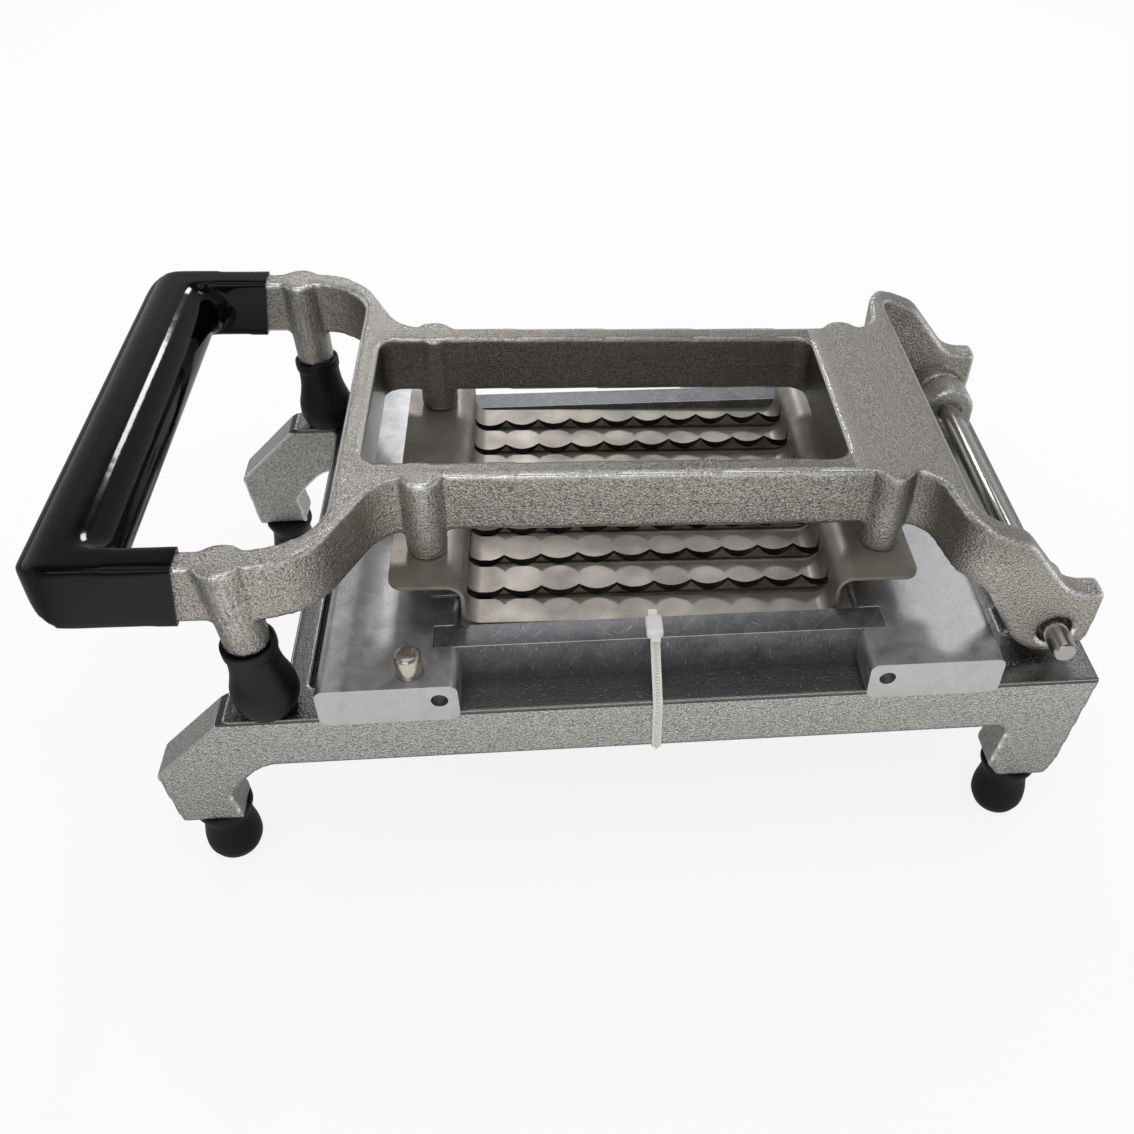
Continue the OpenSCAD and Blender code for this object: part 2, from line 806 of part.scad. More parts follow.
tie_path = [
    [-base_half_depth, rail_bottom_z],
    [-rail_inner_y, rail_bottom_z],
    [-bar_inner_y, base_top_z],
    [-bar_inner_y, bar_top_z],
    [-bar_outer_y, bar_top_z],
    [-base_half_depth, base_top_z]
];

module tie_ring(d, r) {
    rounded(grown(tie_path, d), [r, r, r, r, r, r]);
}

module cable_tie() {
    color("ivory")
        union() {
            translate([tie_x - tie_width / 2, 0, 0])
                rotate([90, 0, 90])
                    linear_extrude(height = tie_width, convexity = 6)
                        difference() {
                            tie_ring(tie_gap + tie_thickness, 1);
                            tie_ring(tie_gap, 0);
                        }
            translate([0, 0, bar_top_z + tie_gap])
                linear_extrude(height = tie_head_height)
                    rounded_rectangle(
                        tie_x - tie_head_width / 2, tie_x + tie_head_width / 2,
                        -bar_outer_y - 1.2, -bar_outer_y - 1.2 + tie_head_length, 1.5
                    );
        }
}

// Lever casting

outline_half = [
    [web_right_x, ear_inner_y],
    [ear_right_x, ear_inner_y],
    [ear_right_x, ear_outer_y],
    [web_right_x - 4, ear_outer_y],
    [web_right_x - 10.6, frame_outer_y],
    [window_left_x + 7.9, frame_outer_y],
    [window_left_x - 14.9, arm_outer_y],
    [arm_start_x, arm_outer_y]
];
outline_radii = [8, 0, 0, 16, 13, 20, 30, 0];

module lever_outline() {
    traced(
        concat(outline_half, mirrored(outline_half)),
        concat(outline_radii, reversed(outline_radii))
    );
}

module lever_plan() {
    difference() {
        lever_outline();
        rounded_rectangle(
            window_left_x, window_right_x, -frame_inner_y, frame_inner_y, window_radius
        );
        traced([
            [arm_start_x - 1, -arm_inner_y],
            [opening_right_x, -arm_inner_y],
            [opening_right_x, arm_inner_y],
            [arm_start_x - 1, arm_inner_y]
        ], [0, opening_radius, opening_radius, 0]);
    }
}

module lever_side() {
    traced([
        [arm_start_x - 1, arm_bottom_z],
        [post_x + post_radius, arm_bottom_z],
        [window_left_x, lever_bottom_z],
        [hinge_x - heel_start, lever_bottom_z],
        [hinge_x - ear_heel_radius + 0.4, ear_bottom_z],
        [ear_right_x, ear_bottom_z],
        [ear_right_x, hinge_z + ear_toe_rise],
        [hinge_x + 0.6, hinge_z + ear_toe_rise],
        [hinge_x - fall_foot, lever_top_z - fall_drop],
        [hinge_x - fall_start, lever_top_z],
        [arm_start_x - 1, lever_top_z]
    ], [0, 40, 40, 12, 24, ear_heel_radius, 2.2, 14, 14, 20, 0]);
}

pocket_half = [
    [web_right_x + 20, frame_inner_y + 14.7],
    [web_right_x - 5.3, frame_inner_y + 14.7],
    [web_right_x - 17.3, frame_inner_y],
    [window_right_x + web_rib_width, frame_inner_y]
];
pocket_radii = [0, 8, 12, 6];

// The hollow under the web plate, open to the right
module web_pocket() {
    translate([0, 0, ear_bottom_z])
        linear_extrude(height = lever_top_z - web_thickness - ear_bottom_z, convexity = 6)
            traced(
                concat(pocket_half, mirrored(pocket_half)),
                concat(pocket_radii, reversed(pocket_radii))
            );
}

// The outer bar and the arm ends that the grip covers, inset by s from the grip's own surface
module grip_form(s) {
    intersection() {
        translate([0, 0, grip_bottom_z - 1])
            linear_extrude(height = grip_top_z - grip_bottom_z + 2)
                rounded([
                    [grip_left_x + s, -arm_outer_y - coat + s],
                    [grip_end_x, -arm_outer_y - coat + s],
                    [grip_end_x, arm_outer_y + coat - s],
                    [grip_left_x + s, arm_outer_y + coat - s]
                ], [grip_corner_radius - s, 0, 0, grip_corner_radius - s]);
        union() {
            along_y(-arm_outer_y - coat, arm_outer_y + coat)
                union() {
                    translate([grip_left_x + grip_radius, grip_middle_z]) circle(r = grip_radius - s);
                    translate([grip_right_x - grip_radius, grip_middle_z]) circle(r = grip_radius - s);
                    translate([grip_left_x + grip_radius, grip_bottom_z + s])
                        square([grip_width - 2 * grip_radius, 2 * (grip_radius - s)]);
                }
            both_sides()
                box(
                    grip_right_x - grip_radius, grip_end_x, arm_inner_y - coat + s, arm_outer_y + coat,
                    grip_bottom_z + s, grip_top_z - s
                );
            both_sides() grip_bend(s);
        }
    }
}

// The quarter bend that carries the round bar into an arm
module grip_bend(s) {
    bend_x = grip_right_x + grip_inner_radius;
    bend_y = arm_inner_y - coat - grip_inner_radius;
    reach = grip_inner_radius + 2 * grip_radius;
    intersection() {
        translate([bend_x, bend_y, grip_middle_z])
            rotate_extrude()
                translate([grip_inner_radius + grip_radius, 0]) circle(r = grip_radius - s);
        box(bend_x - reach, bend_x, bend_y, bend_y + reach, grip_bottom_z, grip_top_z);
    }
}

// Stands its children on the axis of a post, z = 0 at the lever top, side -1 is the front one
module on_post(side) {
    translate([post_x, side * post_y, lever_top_z])
        rotate([-side * post_splay, -post_lean, 0])
            children();
}

module handle_casting() {
    color("silver")
    at_rest()
        difference() {
            union() {
                intersection() {
                    translate([0, 0, ear_bottom_z - 1])
                        linear_extrude(height = lever_top_z - ear_bottom_z + 2, convexity = 10)
                            lever_plan();
                    along_y(-arm_outer_y - 1, arm_outer_y + 1) lever_side();
                }
                grip_form(coat);
                for (side = [-1, 1])
                    intersection() {
                        on_post(side)
                            translate([0, 0, -post_length])
                                cylinder(h = post_length + 2, r1 = post_radius, r2 = post_radius + 0.6);
                        box(
                            post_x - 20, post_x + 20, side * post_y - 20, side * post_y + 20,
                            lever_top_z - post_length - 2, lever_top_z
                        );
                    }
                for (x = [boss_left_x, boss_right_x], y = [-boss_y, boss_y])
                    rod_z(x, y, boss_radius, boss_bottom_z, lever_top_z);
                both_sides()
                    rod_y(hinge_x, hinge_z, ear_heel_radius - 1.3, ear_boss_face_y, ear_inner_y + 1);
            }
            web_pocket_between_bosses();
            rod_y(
                hinge_x, hinge_z, hinge_rod_radius + hinge_clearance,
                -ear_outer_y - 1, ear_outer_y + 1
            );
            both_sides()
                rod_y(
                    hinge_x, hinge_z, ear_recess_radius,
                    ear_outer_y - ear_recess_depth, ear_outer_y + 1
                );
            for (side = [-1, 1])
                on_post(side)
                    rod_z(
                        0, 0, foot_screw_radius,
                        -post_length - 1, -post_length + screw_engagement + 2
                    );
            for (x = [boss_left_x, boss_right_x], y = [-boss_y, boss_y])
                rod_z(
                    x, y, pan_screw_radius,
                    boss_bottom_z - 1, boss_bottom_z + screw_engagement + 2
                );
        }
}

module web_pocket_between_bosses() {
    difference() {
        web_pocket();
        for (y = [-boss_y, boss_y])
            rod_z(boss_right_x, y, boss_radius, ear_bottom_z - 1, lever_top_z);
    }
}

module grip() {
    color("black")
    at_rest()
        difference() {
            grip_form(0);
            grip_form(coat);
            along_y(-base_half_depth, base_half_depth)
                polygon([
                    [grip_end_x + 1, grip_top_z],
                    [grip_end_x, grip_top_z],
                    [grip_end_x - grip_end_lean, grip_bottom_z],
                    [grip_end_x + 1, grip_bottom_z]
                ]);
        }
}

module stop(side) {
    color("dimgray")
    at_rest()
        on_post(side) translate([0, 0, -stop_drop])
            rubber_foot(
                stop_height, stop_rim_radius, stop_waist_radius, stop_flare_radius,
                stop_height - foot_grip_length
            );
}

module front_bumper() {
    stop(-1);
}

module rear_bumper() {
    stop(1);
}

module bumper_screws() {
    color("gainsboro")
    at_rest()
        for (side = [-1, 1])
            on_post(side) translate([0, 0, -post_length - foot_grip_length])
                screw_up(
                    foot_screw_radius, foot_head_radius, foot_head_height,
                    foot_grip_length + screw_engagement
                );
}

// Pusher pan

module pan_profile() {
    rounded([
        [flange_left_x, flange_top_z],
        [pan_left_x, flange_top_z],
        [pan_left_x, pan_floor_z],
        [pan_right_x, pan_floor_z],
        [pan_right_x, flange_top_z],
        [flange_right_x, flange_top_z],
        [flange_right_x, flange_bottom_z],
        [pan_right_x + pan_thickness, flange_bottom_z],
        [pan_right_x + pan_thickness, pan_floor_z - pan_thickness],
        [pan_left_x - pan_thickness, pan_floor_z - pan_thickness],
        [pan_left_x - pan_thickness, flange_bottom_z],
        [flange_left_x, flange_bottom_z]
    ], [
        0, bend_radius + pan_thickness, bend_radius, bend_radius, bend_radius + pan_thickness, 0,
        0, bend_radius, bend_radius + pan_thickness, bend_radius + pan_thickness, bend_radius, 0
    ]);
}

module pan_slot(y) {
    box(
        pan_left_x - pan_thickness - 1, pan_right_x + pan_thickness + 1,
        y - slot_width / 2, y + slot_width / 2,
        pan_floor_z - pan_thickness - 1, slot_centre_z
    );
    translate([pan_left_x - pan_thickness - 1, y, slot_centre_z])
        rotate([0, 90, 0])
            cylinder(h = pan_right_x - pan_left_x + 2 * pan_thickness + 2, r = slot_width / 2);
}

module pusher_pan() {
    color("whitesmoke")
    at_rest()
        difference() {
            intersection() {
                along_y(-pan_half_depth, pan_half_depth) pan_profile();
                translate([0, 0, pan_floor_z - pan_thickness - 1])
                    linear_extrude(height = pan_depth + pan_thickness + 2)
                        rounded_rectangle(
                            flange_left_x, flange_right_x,
                            -pan_half_depth, pan_half_depth, flange_corner_radius
                        );
            }
            for (k = [-blade_half_count : blade_half_count])
                pan_slot(k * blade_spacing);
            for (x = [boss_left_x, boss_right_x], y = [-boss_y, boss_y])
                rod_z(x, y, pan_screw_radius + fit_gap, flange_bottom_z - 1, flange_top_z + 1);
        }
}

module pan_screws() {
    color("gainsboro")
    at_rest()
        for (x = [boss_left_x, boss_right_x], y = [-boss_y, boss_y])
            translate([x, y, flange_bottom_z])
                screw_up(
                    pan_screw_radius, pan_head_radius, pan_head_height,
                    pan_thickness + screw_engagement
                );
}

base_casting();
foot_front_left();
foot_front_right();
foot_rear_left();
foot_rear_right();
foot_screws();
left_block();
right_block();
front_bar();
rear_bar();
left_blade_rod();
right_blade_rod();
blade_1();
blade_2();
blade_3();
blade_4();
blade_5();
blade_6();
blade_7();
locating_pins();
hinge_rod();
cable_tie();
handle_casting();
grip();
front_bumper();
rear_bumper();
bumper_screws();
pusher_pan();
pan_screws();
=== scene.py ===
import math

import bmesh
import bpy
import numpy as np
from mathutils import Matrix, Vector
from mathutils.bvhtree import BVHTree


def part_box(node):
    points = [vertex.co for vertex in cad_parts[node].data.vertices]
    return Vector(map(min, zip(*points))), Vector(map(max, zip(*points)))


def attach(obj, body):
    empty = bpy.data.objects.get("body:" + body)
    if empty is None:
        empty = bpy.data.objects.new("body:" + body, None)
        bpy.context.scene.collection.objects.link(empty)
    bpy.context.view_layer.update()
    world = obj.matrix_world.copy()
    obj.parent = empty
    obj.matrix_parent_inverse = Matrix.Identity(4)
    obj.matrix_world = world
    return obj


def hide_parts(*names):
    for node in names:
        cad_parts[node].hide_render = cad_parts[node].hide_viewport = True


# A hand lever slicer for boned meat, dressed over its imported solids. Metres, +X to the hinge.
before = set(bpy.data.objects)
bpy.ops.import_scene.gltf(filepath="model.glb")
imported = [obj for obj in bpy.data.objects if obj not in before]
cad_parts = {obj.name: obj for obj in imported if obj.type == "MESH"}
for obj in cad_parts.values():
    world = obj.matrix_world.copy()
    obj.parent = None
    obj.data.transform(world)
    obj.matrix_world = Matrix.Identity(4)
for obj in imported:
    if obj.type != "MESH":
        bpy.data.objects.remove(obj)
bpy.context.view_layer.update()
mm = 0.001


# The base casting: two side rails on four legs, tied by a bridge under the left block and a deck
# under the hinge. It is sand cast aluminium, tumbled until the skin is pebbled and the edges are rubbed
# bright, with a painted highlight laid on them too. The tops of the rails are milled flat.

def linear(hex_colour):
    """An sRGB hex colour as the linear values that a shader takes."""
    parts = [int(hex_colour[i : i + 2], 16) / 255 for i in (1, 3, 5)]
    return [p / 12.92 if p <= 0.04045 else ((p + 0.055) / 1.055) ** 2.4 for p in parts] + [1.0]


def feed(tree, node, inputs):
    """Sets a node's sockets, each by its name or its place, to a value or a hex colour, or links
    them to an output or to a whole node, which stands for its first output."""
    for key, value in inputs.items():
        socket = next(s for i, s in enumerate(node.inputs) if s.enabled and key in (i, s.name))
        if isinstance(value, bpy.types.Node):
            value = next(s for s in value.outputs if s.enabled)
        if isinstance(value, bpy.types.NodeSocket):
            tree.links.new(value, socket)
        else:
            is_colour = isinstance(value, str) and value.startswith("#")
            socket.default_value = linear(value) if is_colour else value


def add(tree, kind, inputs=None, stops=(), **settings):
    """Adds a node with its settings, what feeds it and, on a colour ramp, its stops."""
    made = tree.nodes.new(kind)
    for name, value in settings.items():
        setattr(made, name, value)
    feed(tree, made, inputs or {})
    for i, (place, colour) in enumerate(stops):
        ramp = made.color_ramp.elements
        stop = ramp[i] if i < 2 else ramp.new(place)
        stop.position, stop.color = place, linear(colour)
    return made


def blank_material(name):
    """A material, its tree, its shader and its piece's own coordinates, in metres."""
    made = bpy.data.materials.new(name)
    made.use_nodes = True
    tree = made.node_tree
    return made, tree, tree.nodes["Principled BSDF"], add(tree, "ShaderNodeTexCoord").outputs["Object"]


def show(name, mesh, *materials):
    """Puts a mesh into the scene as a piece at the origin."""
    mesh.name = name
    made = bpy.data.objects.new(name, mesh)
    bpy.context.scene.collection.objects.link(made)
    for each in materials:
        mesh.materials.append(each)
    return made


def merged_copy(name, node):
    """A copy of a CAD solid with its loose triangles joined."""
    joined = bmesh.new()
    joined.from_mesh(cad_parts[node].data)
    bmesh.ops.remove_doubles(joined, verts=joined.verts, dist=0.001 * mm)
    joined.verts.index_update()
    points = [v.co.copy() for v in joined.verts]
    faces = [[v.index for v in f.verts] for f in joined.faces]
    joined.free()
    mesh = bpy.data.meshes.new(name)
    mesh.from_pydata(points, [], faces)
    return mesh


def applied(made, name):
    """The mesh that a piece's modifiers make, with the piece itself removed."""
    bpy.context.view_layer.update()
    graph = bpy.context.evaluated_depsgraph_get()
    mesh = bpy.data.meshes.new_from_object(made.evaluated_get(graph))
    bpy.data.objects.remove(made)
    mesh.name = name
    return mesh


def rounded_skin(name, sharp, voxel, passes, keep=1.0):
    """One closed skin over a sharp mesh, rounded by passes of smoothing. It keeps a share of its
    faces."""
    made = show(name + "_sharp", sharp)
    skin = made.modifiers.new("Skin", "REMESH")
    skin.mode, skin.voxel_size, skin.adaptivity = "VOXEL", voxel, 0
    rounding = made.modifiers.new("Rounded edges", "SMOOTH")
    rounding.factor, rounding.iterations = 0.5, passes
    made.modifiers.new("Lighter mesh", "DECIMATE").ratio = keep
    mesh = applied(made, name)
    mesh.materials.clear()
    mesh.shade_smooth()
    return mesh


def tumbled_casting(name, node, passes, reach):
    """The CAD solid as it leaves the tumbling drum. Each point of the skin stores how far the drum
    moved it: 0.5 on the flats, up to 1 on an edge rubbed back by reach, down to 0 in a filled corner."""
    sharp = merged_copy(name + "_cast", node)
    faces = [tuple(p.vertices) for p in sharp.polygons]
    sharp_tree = BVHTree.FromPolygons([v.co for v in sharp.vertices], faces)
    mesh = rounded_skin(name, sharp, 1.1 * mm, passes, keep=0.55)
    marks = np.full(len(mesh.vertices), 0.5, np.float32)
    for v in mesh.vertices:
        near = sharp_tree.find_nearest(v.co, 4 * mm)[0]
        if near is not None:
            marks[v.index] = 0.5 + 0.5 * max(-1, min(1, (near - v.co).dot(v.normal) / reach))
    mesh.attributes.new("rubbed", "FLOAT", "POINT").data.foreach_set("value", marks)
    return mesh


def cast_aluminium(name, mid_hex, low_hex, high_hex, worn_highlight_hex, flash_z=None, flash_tilt=0.0, milled_z=None):
    """Tumbled sand casting: a skin of fine pebbles that glitter, drawn coarser than the real grain so
    that they show, with painted shade in the corners and rubbed edges, worn bright and lifted further by a
    painted highlight. It can have a faint flash line, where the mould halves met, and smooth milled faces
    at one height, with cutter streaks and a painted dark reflection, above a lip with a painted dark line
    of shade."""
    made, tree, shader, place = blank_material(name)
    where = add(tree, "ShaderNodeSeparateXYZ", {"Vector": place}).outputs
    rubbed = add(tree, "ShaderNodeAttribute", attribute_name="rubbed").outputs["Fac"]
    pebbles = add(tree, "ShaderNodeTexVoronoi", {"Vector": place, "Scale": 1 / (0.95 * mm),
                                                 "Smoothness": 0.5}, feature="SMOOTH_F1")
    grain = add(tree, "ShaderNodeTexNoise", {"Vector": place, "Scale": 1 / (0.55 * mm), "Detail": 4.0,
                                             "Roughness": 0.6})
    holes = add(tree, "ShaderNodeTexNoise", {"Vector": place, "Scale": 1 / (1.3 * mm), "Detail": 2.0})
    drift = add(tree, "ShaderNodeTexNoise", {"Vector": place, "Scale": 1 / (18 * mm), "Detail": 3.0})
    pitted = add(tree, "ShaderNodeMapRange", {"Value": holes, "From Min": 0.6, "From Max": 0.7,
                                              "To Max": 0.6})
    cloud = add(tree, "ShaderNodeMapRange", {"Value": drift, "From Min": 0.35, "From Max": 0.65,
                                             "To Max": 0.25})
    # Rubbed edges: worn bright, and a painted highlight laid over them too.
    worn_highlight = add(tree, "ShaderNodeMapRange", {"Value": rubbed, "From Min": 0.53, "From Max": 0.64})
    # Painted shade: the filled corners are darkened towards #4a463e.
    corner_shade = add(tree, "ShaderNodeMapRange", {"Value": rubbed, "From Min": 0.46, "From Max": 0.22,
                                             "To Max": 0.8})
    layers = [(pitted, low_hex), (cloud, mid_hex), (worn_highlight, worn_highlight_hex), (corner_shade, "#4a463e")]
    flash = milled = 0.0

    if flash_z is not None:
        wander = add(tree, "ShaderNodeTexNoise", {"Vector": place, "Scale": 1 / (9 * mm), "Detail": 1.0})
        tilt = add(tree, "ShaderNodeMath", {0: where["X"], 1: math.tan(flash_tilt), 2: -flash_z},
                   operation="MULTIPLY_ADD")
        level = add(tree, "ShaderNodeMath", {0: where["Z"], 1: tilt}, operation="ADD")
        wavy = add(tree, "ShaderNodeMath", {0: wander, 1: 1.6 * mm, 2: level}, operation="MULTIPLY_ADD")
        away = add(tree, "ShaderNodeMath", {0: wavy}, operation="ABSOLUTE")
        line = add(tree, "ShaderNodeMapRange", {"Value": away, "From Min": 0.5 * mm, "From Max": 0.1 * mm})
        broken = add(tree, "ShaderNodeMapRange", {"Value": drift, "From Min": 0.42, "From Max": 0.58,
                                                  "To Max": 0.35})
        flash = add(tree, "ShaderNodeMath", {0: line, 1: broken}, operation="MULTIPLY")
        layers.append((flash, "#4a463e"))

    if milled_z is not None:
        over = add(tree, "ShaderNodeMapRange", {"Value": where["Z"], "From Min": milled_z - 0.3 * mm,
                                                "From Max": milled_z - 0.08 * mm})
        under = add(tree, "ShaderNodeMath", {0: where["Z"], 1: milled_z + 0.5 * mm},
                    operation="LESS_THAN")
        milled = add(tree, "ShaderNodeMath", {0: over, 1: under}, operation="MULTIPLY")
        along = add(tree, "ShaderNodeMapping", {"Vector": place, "Scale": (1 / (30 * mm), 1 / (0.6 * mm),
                                                                           1 / (9 * mm))})
        cutter = add(tree, "ShaderNodeTexNoise", {"Vector": along, "Scale": 1.0, "Detail": 3.0})
        # Milled faces: real cutter streaks, in colours darkened as a painted dark reflection.
        dark_reflected_cut_face = add(tree, "ShaderNodeMix", {"Factor": cutter, "A": "#777674", "B": "#a3a2a0"},
                       data_type="RGBA")
        # Painted shade: a dark line just under the milled faces, where the edge turns down.
        lip = add(tree, "ShaderNodeMath", {0: where["Z"], 1: milled_z - 1.05 * mm, 2: 0.7 * mm},
                  operation="COMPARE")
        lip_shade = add(tree, "ShaderNodeMath", {0: lip, 1: 0.85}, operation="MULTIPLY")
        layers += [(milled, dark_reflected_cut_face), (lip_shade, "#2b2927")]

    colour = add(tree, "ShaderNodeValToRGB", {"Fac": grain},
                 stops=[(0.37, low_hex), (0.5, mid_hex), (0.64, high_hex)])
    for share, finish in layers:
        colour = add(tree, "ShaderNodeMix", {"Factor": share, "A": colour, "B": finish}, data_type="RGBA")
    rough = add(tree, "ShaderNodeMapRange", {"Value": worn_highlight, "To Min": 0.28, "To Max": 0.16})
    height = add(tree, "ShaderNodeMath", {0: pebbles, 1: 0.8, 2: grain}, operation="MULTIPLY_ADD")
    smooth = add(tree, "ShaderNodeMath", {0: worn_highlight, 1: milled}, operation="MAXIMUM")
    calmer = add(tree, "ShaderNodeMapRange", {"Value": smooth, "To Min": 1.0, "To Max": 0.25})
    bumped = add(tree, "ShaderNodeMath", {0: height, 1: calmer}, operation="MULTIPLY")
    sunken = add(tree, "ShaderNodeMath", {0: pitted, 1: -0.6, 2: bumped}, operation="MULTIPLY_ADD")
    raised = add(tree, "ShaderNodeMath", {0: flash, 1: 0.8, 2: sunken}, operation="MULTIPLY_ADD")
    bump = add(tree, "ShaderNodeBump", {"Height": raised, "Strength": 1.0, "Distance": 0.3 * mm})
    feed(tree, shader, {"Base Color": colour, "Metallic": 1.0, "Roughness": rough, "Normal": bump})
    return made


rail_top = 88 * mm
base_metal = cast_aluminium("tumbled_cast_aluminium_base", "#ccc9c3", "#827f79", "#efedea", "#f8f7f5",
                            milled_z=rail_top)
base_mesh = tumbled_casting("base_skin", "base_casting", passes=2, reach=0.6 * mm)
base = show("base_frame", base_mesh, base_metal)
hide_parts("base_casting")
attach(base, "base")


# The four feet: moulded rubber cones that flare to the worktop, each held up into its leg by a
# socket screw from below. The rubber is satin black with a soft sheen on the round of the flare.

def modifier_tree(name, piece, sockets):
    """A tree with its inputs: the modifier's own mesh, then each label with its kind of socket."""
    tree = bpy.data.node_groups.new(name, "GeometryNodeTree")
    tree.is_modifier = True
    for label, kind in [(piece, "Geometry")] + sockets:
        tree.interface.new_socket(label, in_out="INPUT", socket_type="NodeSocket" + kind)
    tree.interface.new_socket("Made", in_out="OUTPUT", socket_type="NodeSocketGeometry")
    return tree, add(tree, "NodeGroupInput").outputs


def row_tree():
    """Sets copies of the modifier's own mesh on a grid of points, whole and in one material."""
    tree, given = modifier_tree("Copies set in rows", "Piece", [
        ("Middle", "Vector"), ("Length apart", "Float"), ("Depth apart", "Float"), ("Finish", "Material")])
    grid = add(tree, "GeometryNodeMeshGrid", {"Size X": given["Length apart"], "Vertices X": 2,
                                              "Size Y": given["Depth apart"], "Vertices Y": 2})
    single = add(tree, "GeometryNodeMergeByDistance", {"Geometry": grid, "Distance": 0.01 * mm})
    moved = add(tree, "GeometryNodeTransform", {"Geometry": single, "Translation": given["Middle"]})
    copies = add(tree, "GeometryNodeInstanceOnPoints", {"Points": moved, "Instance": given["Piece"]})
    whole = add(tree, "GeometryNodeRealizeInstances", {"Geometry": copies})
    dressed = add(tree, "GeometryNodeSetMaterial", {"Geometry": whole, "Material": given["Finish"]})
    add(tree, "NodeGroupOutput", {0: dressed})
    return tree


def from_tree(name, mesh, tree, **values):
    """Runs a tree on a mesh and keeps the plain mesh that it makes."""
    made = show(name, mesh)
    modifier = made.modifiers.new(name, "NODES")
    modifier.node_group = tree
    for item in tree.interface.items_tree:
        label = item.name.replace(" ", "_").lower()
        if item.in_out == "INPUT" and label in values:
            modifier[item.identifier] = values[label]
    return applied(made, name + "_mesh")


def turned(name, profile, steps):
    """A solid turned about Z from (radius, height) points that run round its section."""
    lathe = bmesh.new()
    rings = []
    for step in range(steps):
        angle = 2 * math.pi * step / steps
        rings.append([lathe.verts.new((r * math.cos(angle), r * math.sin(angle), z)) for r, z in profile])
    on_axis = [r < 1e-9 for r, _ in profile]
    for step in range(steps):
        here, there = rings[step], rings[(step + 1) % steps]
        for i in range(len(profile)):
            j = (i + 1) % len(profile)
            if on_axis[i] and on_axis[j]:
                continue
            corners = [here[i], there[i], there[j], here[j]]
            if on_axis[i]:
                corners = [here[i], there[j], here[j]]
            if on_axis[j]:
                corners = [here[i], there[i], here[j]]
            lathe.faces.new(corners)
    bmesh.ops.remove_doubles(lathe, verts=lathe.verts, dist=0.0005 * mm)
    bmesh.ops.recalc_face_normals(lathe, faces=lathe.faces)
    mesh = bpy.data.meshes.new(name)
    lathe.to_mesh(mesh)
    lathe.free()
    mesh.shade_smooth()
    mesh.set_sharp_from_angle(angle=math.radians(35))
    return mesh


def smooth_line(points, steps):
    """A flowing line through points, with the first and last kept."""
    padded = [points[0]] + list(points) + [points[-1]]
    line = []
    for four in zip(padded, padded[1:], padded[2:], padded[3:]):
        for i in range(steps):
            t = i / steps
            line.append([0.5 * (2 * q + (r - p) * t + (2 * p - 5 * q + 4 * r - s) * t * t
                                + (3 * q - p - 3 * r + s) * t ** 3) for p, q, r, s in zip(*four)])
    return line + [list(points[-1])]


def rubber_profile(height, rim, waist, flare, recess, bore, lip):
    """The section of a foot or stop: round bulb, waist, and a beaded rim round the metal above."""
    top, head_radius = height + lip, bore + 2.8 * mm
    bulb = [(flare - 3.3 * mm, 0), (flare - 2.1 * mm, 0.5 * mm), (flare - 1.1 * mm, height * 0.09),
            (flare - 0.25 * mm, height * 0.17), (flare - 0.1 * mm, height * 0.27)]
    neck = [(flare * share + waist * (1 - share), height * level)
            for share, level in ((0.82, 0.38), (0.45, 0.5), (0.15, 0.62), (0, 0.74))]
    bead = [(rim - 0.75 * mm, height * 0.86), (rim - 0.6 * mm, height * 0.89),
            (rim - 0.1 * mm, height * 0.91), (rim - 0.05 * mm, top - 0.7 * mm),
            (rim - 0.4 * mm, top - 0.1 * mm), (rim - 0.8 * mm, top)]
    inside = [(rim - 1.1 * mm, top - 0.2 * mm), (rim - 1.3 * mm, height - 0.05 * mm),
              (bore, height - 0.05 * mm), (bore, recess), (head_radius, recess), (head_radius, 0.6 * mm),
              (head_radius + 0.4 * mm, 0)]
    return smooth_line(bulb + neck + bead, 4) + inside


def satin_rubber():
    """Moulded nitrile rubber: near black, a dull sheen and a faint mould bloom."""
    made, tree, shader, place = blank_material("moulded_black_rubber")
    bloom = add(tree, "ShaderNodeTexNoise", {"Vector": place, "Scale": 1 / (7 * mm), "Detail": 4.0})
    colour = add(tree, "ShaderNodeMix", {"Factor": bloom, "A": "#070708", "B": "#111112"}, data_type="RGBA")
    rough = add(tree, "ShaderNodeMapRange", {"Value": bloom, "To Min": 0.34, "To Max": 0.5})
    fine = add(tree, "ShaderNodeTexNoise", {"Vector": place, "Scale": 1 / (0.8 * mm), "Detail": 2.0})
    bump = add(tree, "ShaderNodeBump", {"Height": fine, "Strength": 0.2, "Distance": 0.05 * mm})
    feed(tree, shader, {"Base Color": colour, "Roughness": rough, "Normal": bump, "IOR": 1.52,
                        "Specular IOR Level": 0.3})
    return made


def centre(node):
    """The middle of a CAD solid's box."""
    low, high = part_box(node)
    return (low + high) / 2


rubber = satin_rubber()
set_in_rows = row_tree()
foot_section = rubber_profile(height=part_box("foot_front_left")[1].z, rim=11.6 * mm, waist=9.7 * mm,
                              flare=11.4 * mm, recess=15 * mm, bore=3.1 * mm, lip=0.0)
front_left, rear_right = centre("foot_front_left"), centre("foot_rear_right")
feet = show("feet", from_tree(
    "feet_row", turned("foot", foot_section, 72), set_in_rows,
    middle=((front_left.x + rear_right.x) / 2, 0, 0), length_apart=rear_right.x - front_left.x,
    depth_apart=rear_right.y - front_left.y, finish=rubber))
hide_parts("foot_front_left", "foot_front_right", "foot_rear_left", "foot_rear_right")
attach(feet, "base")


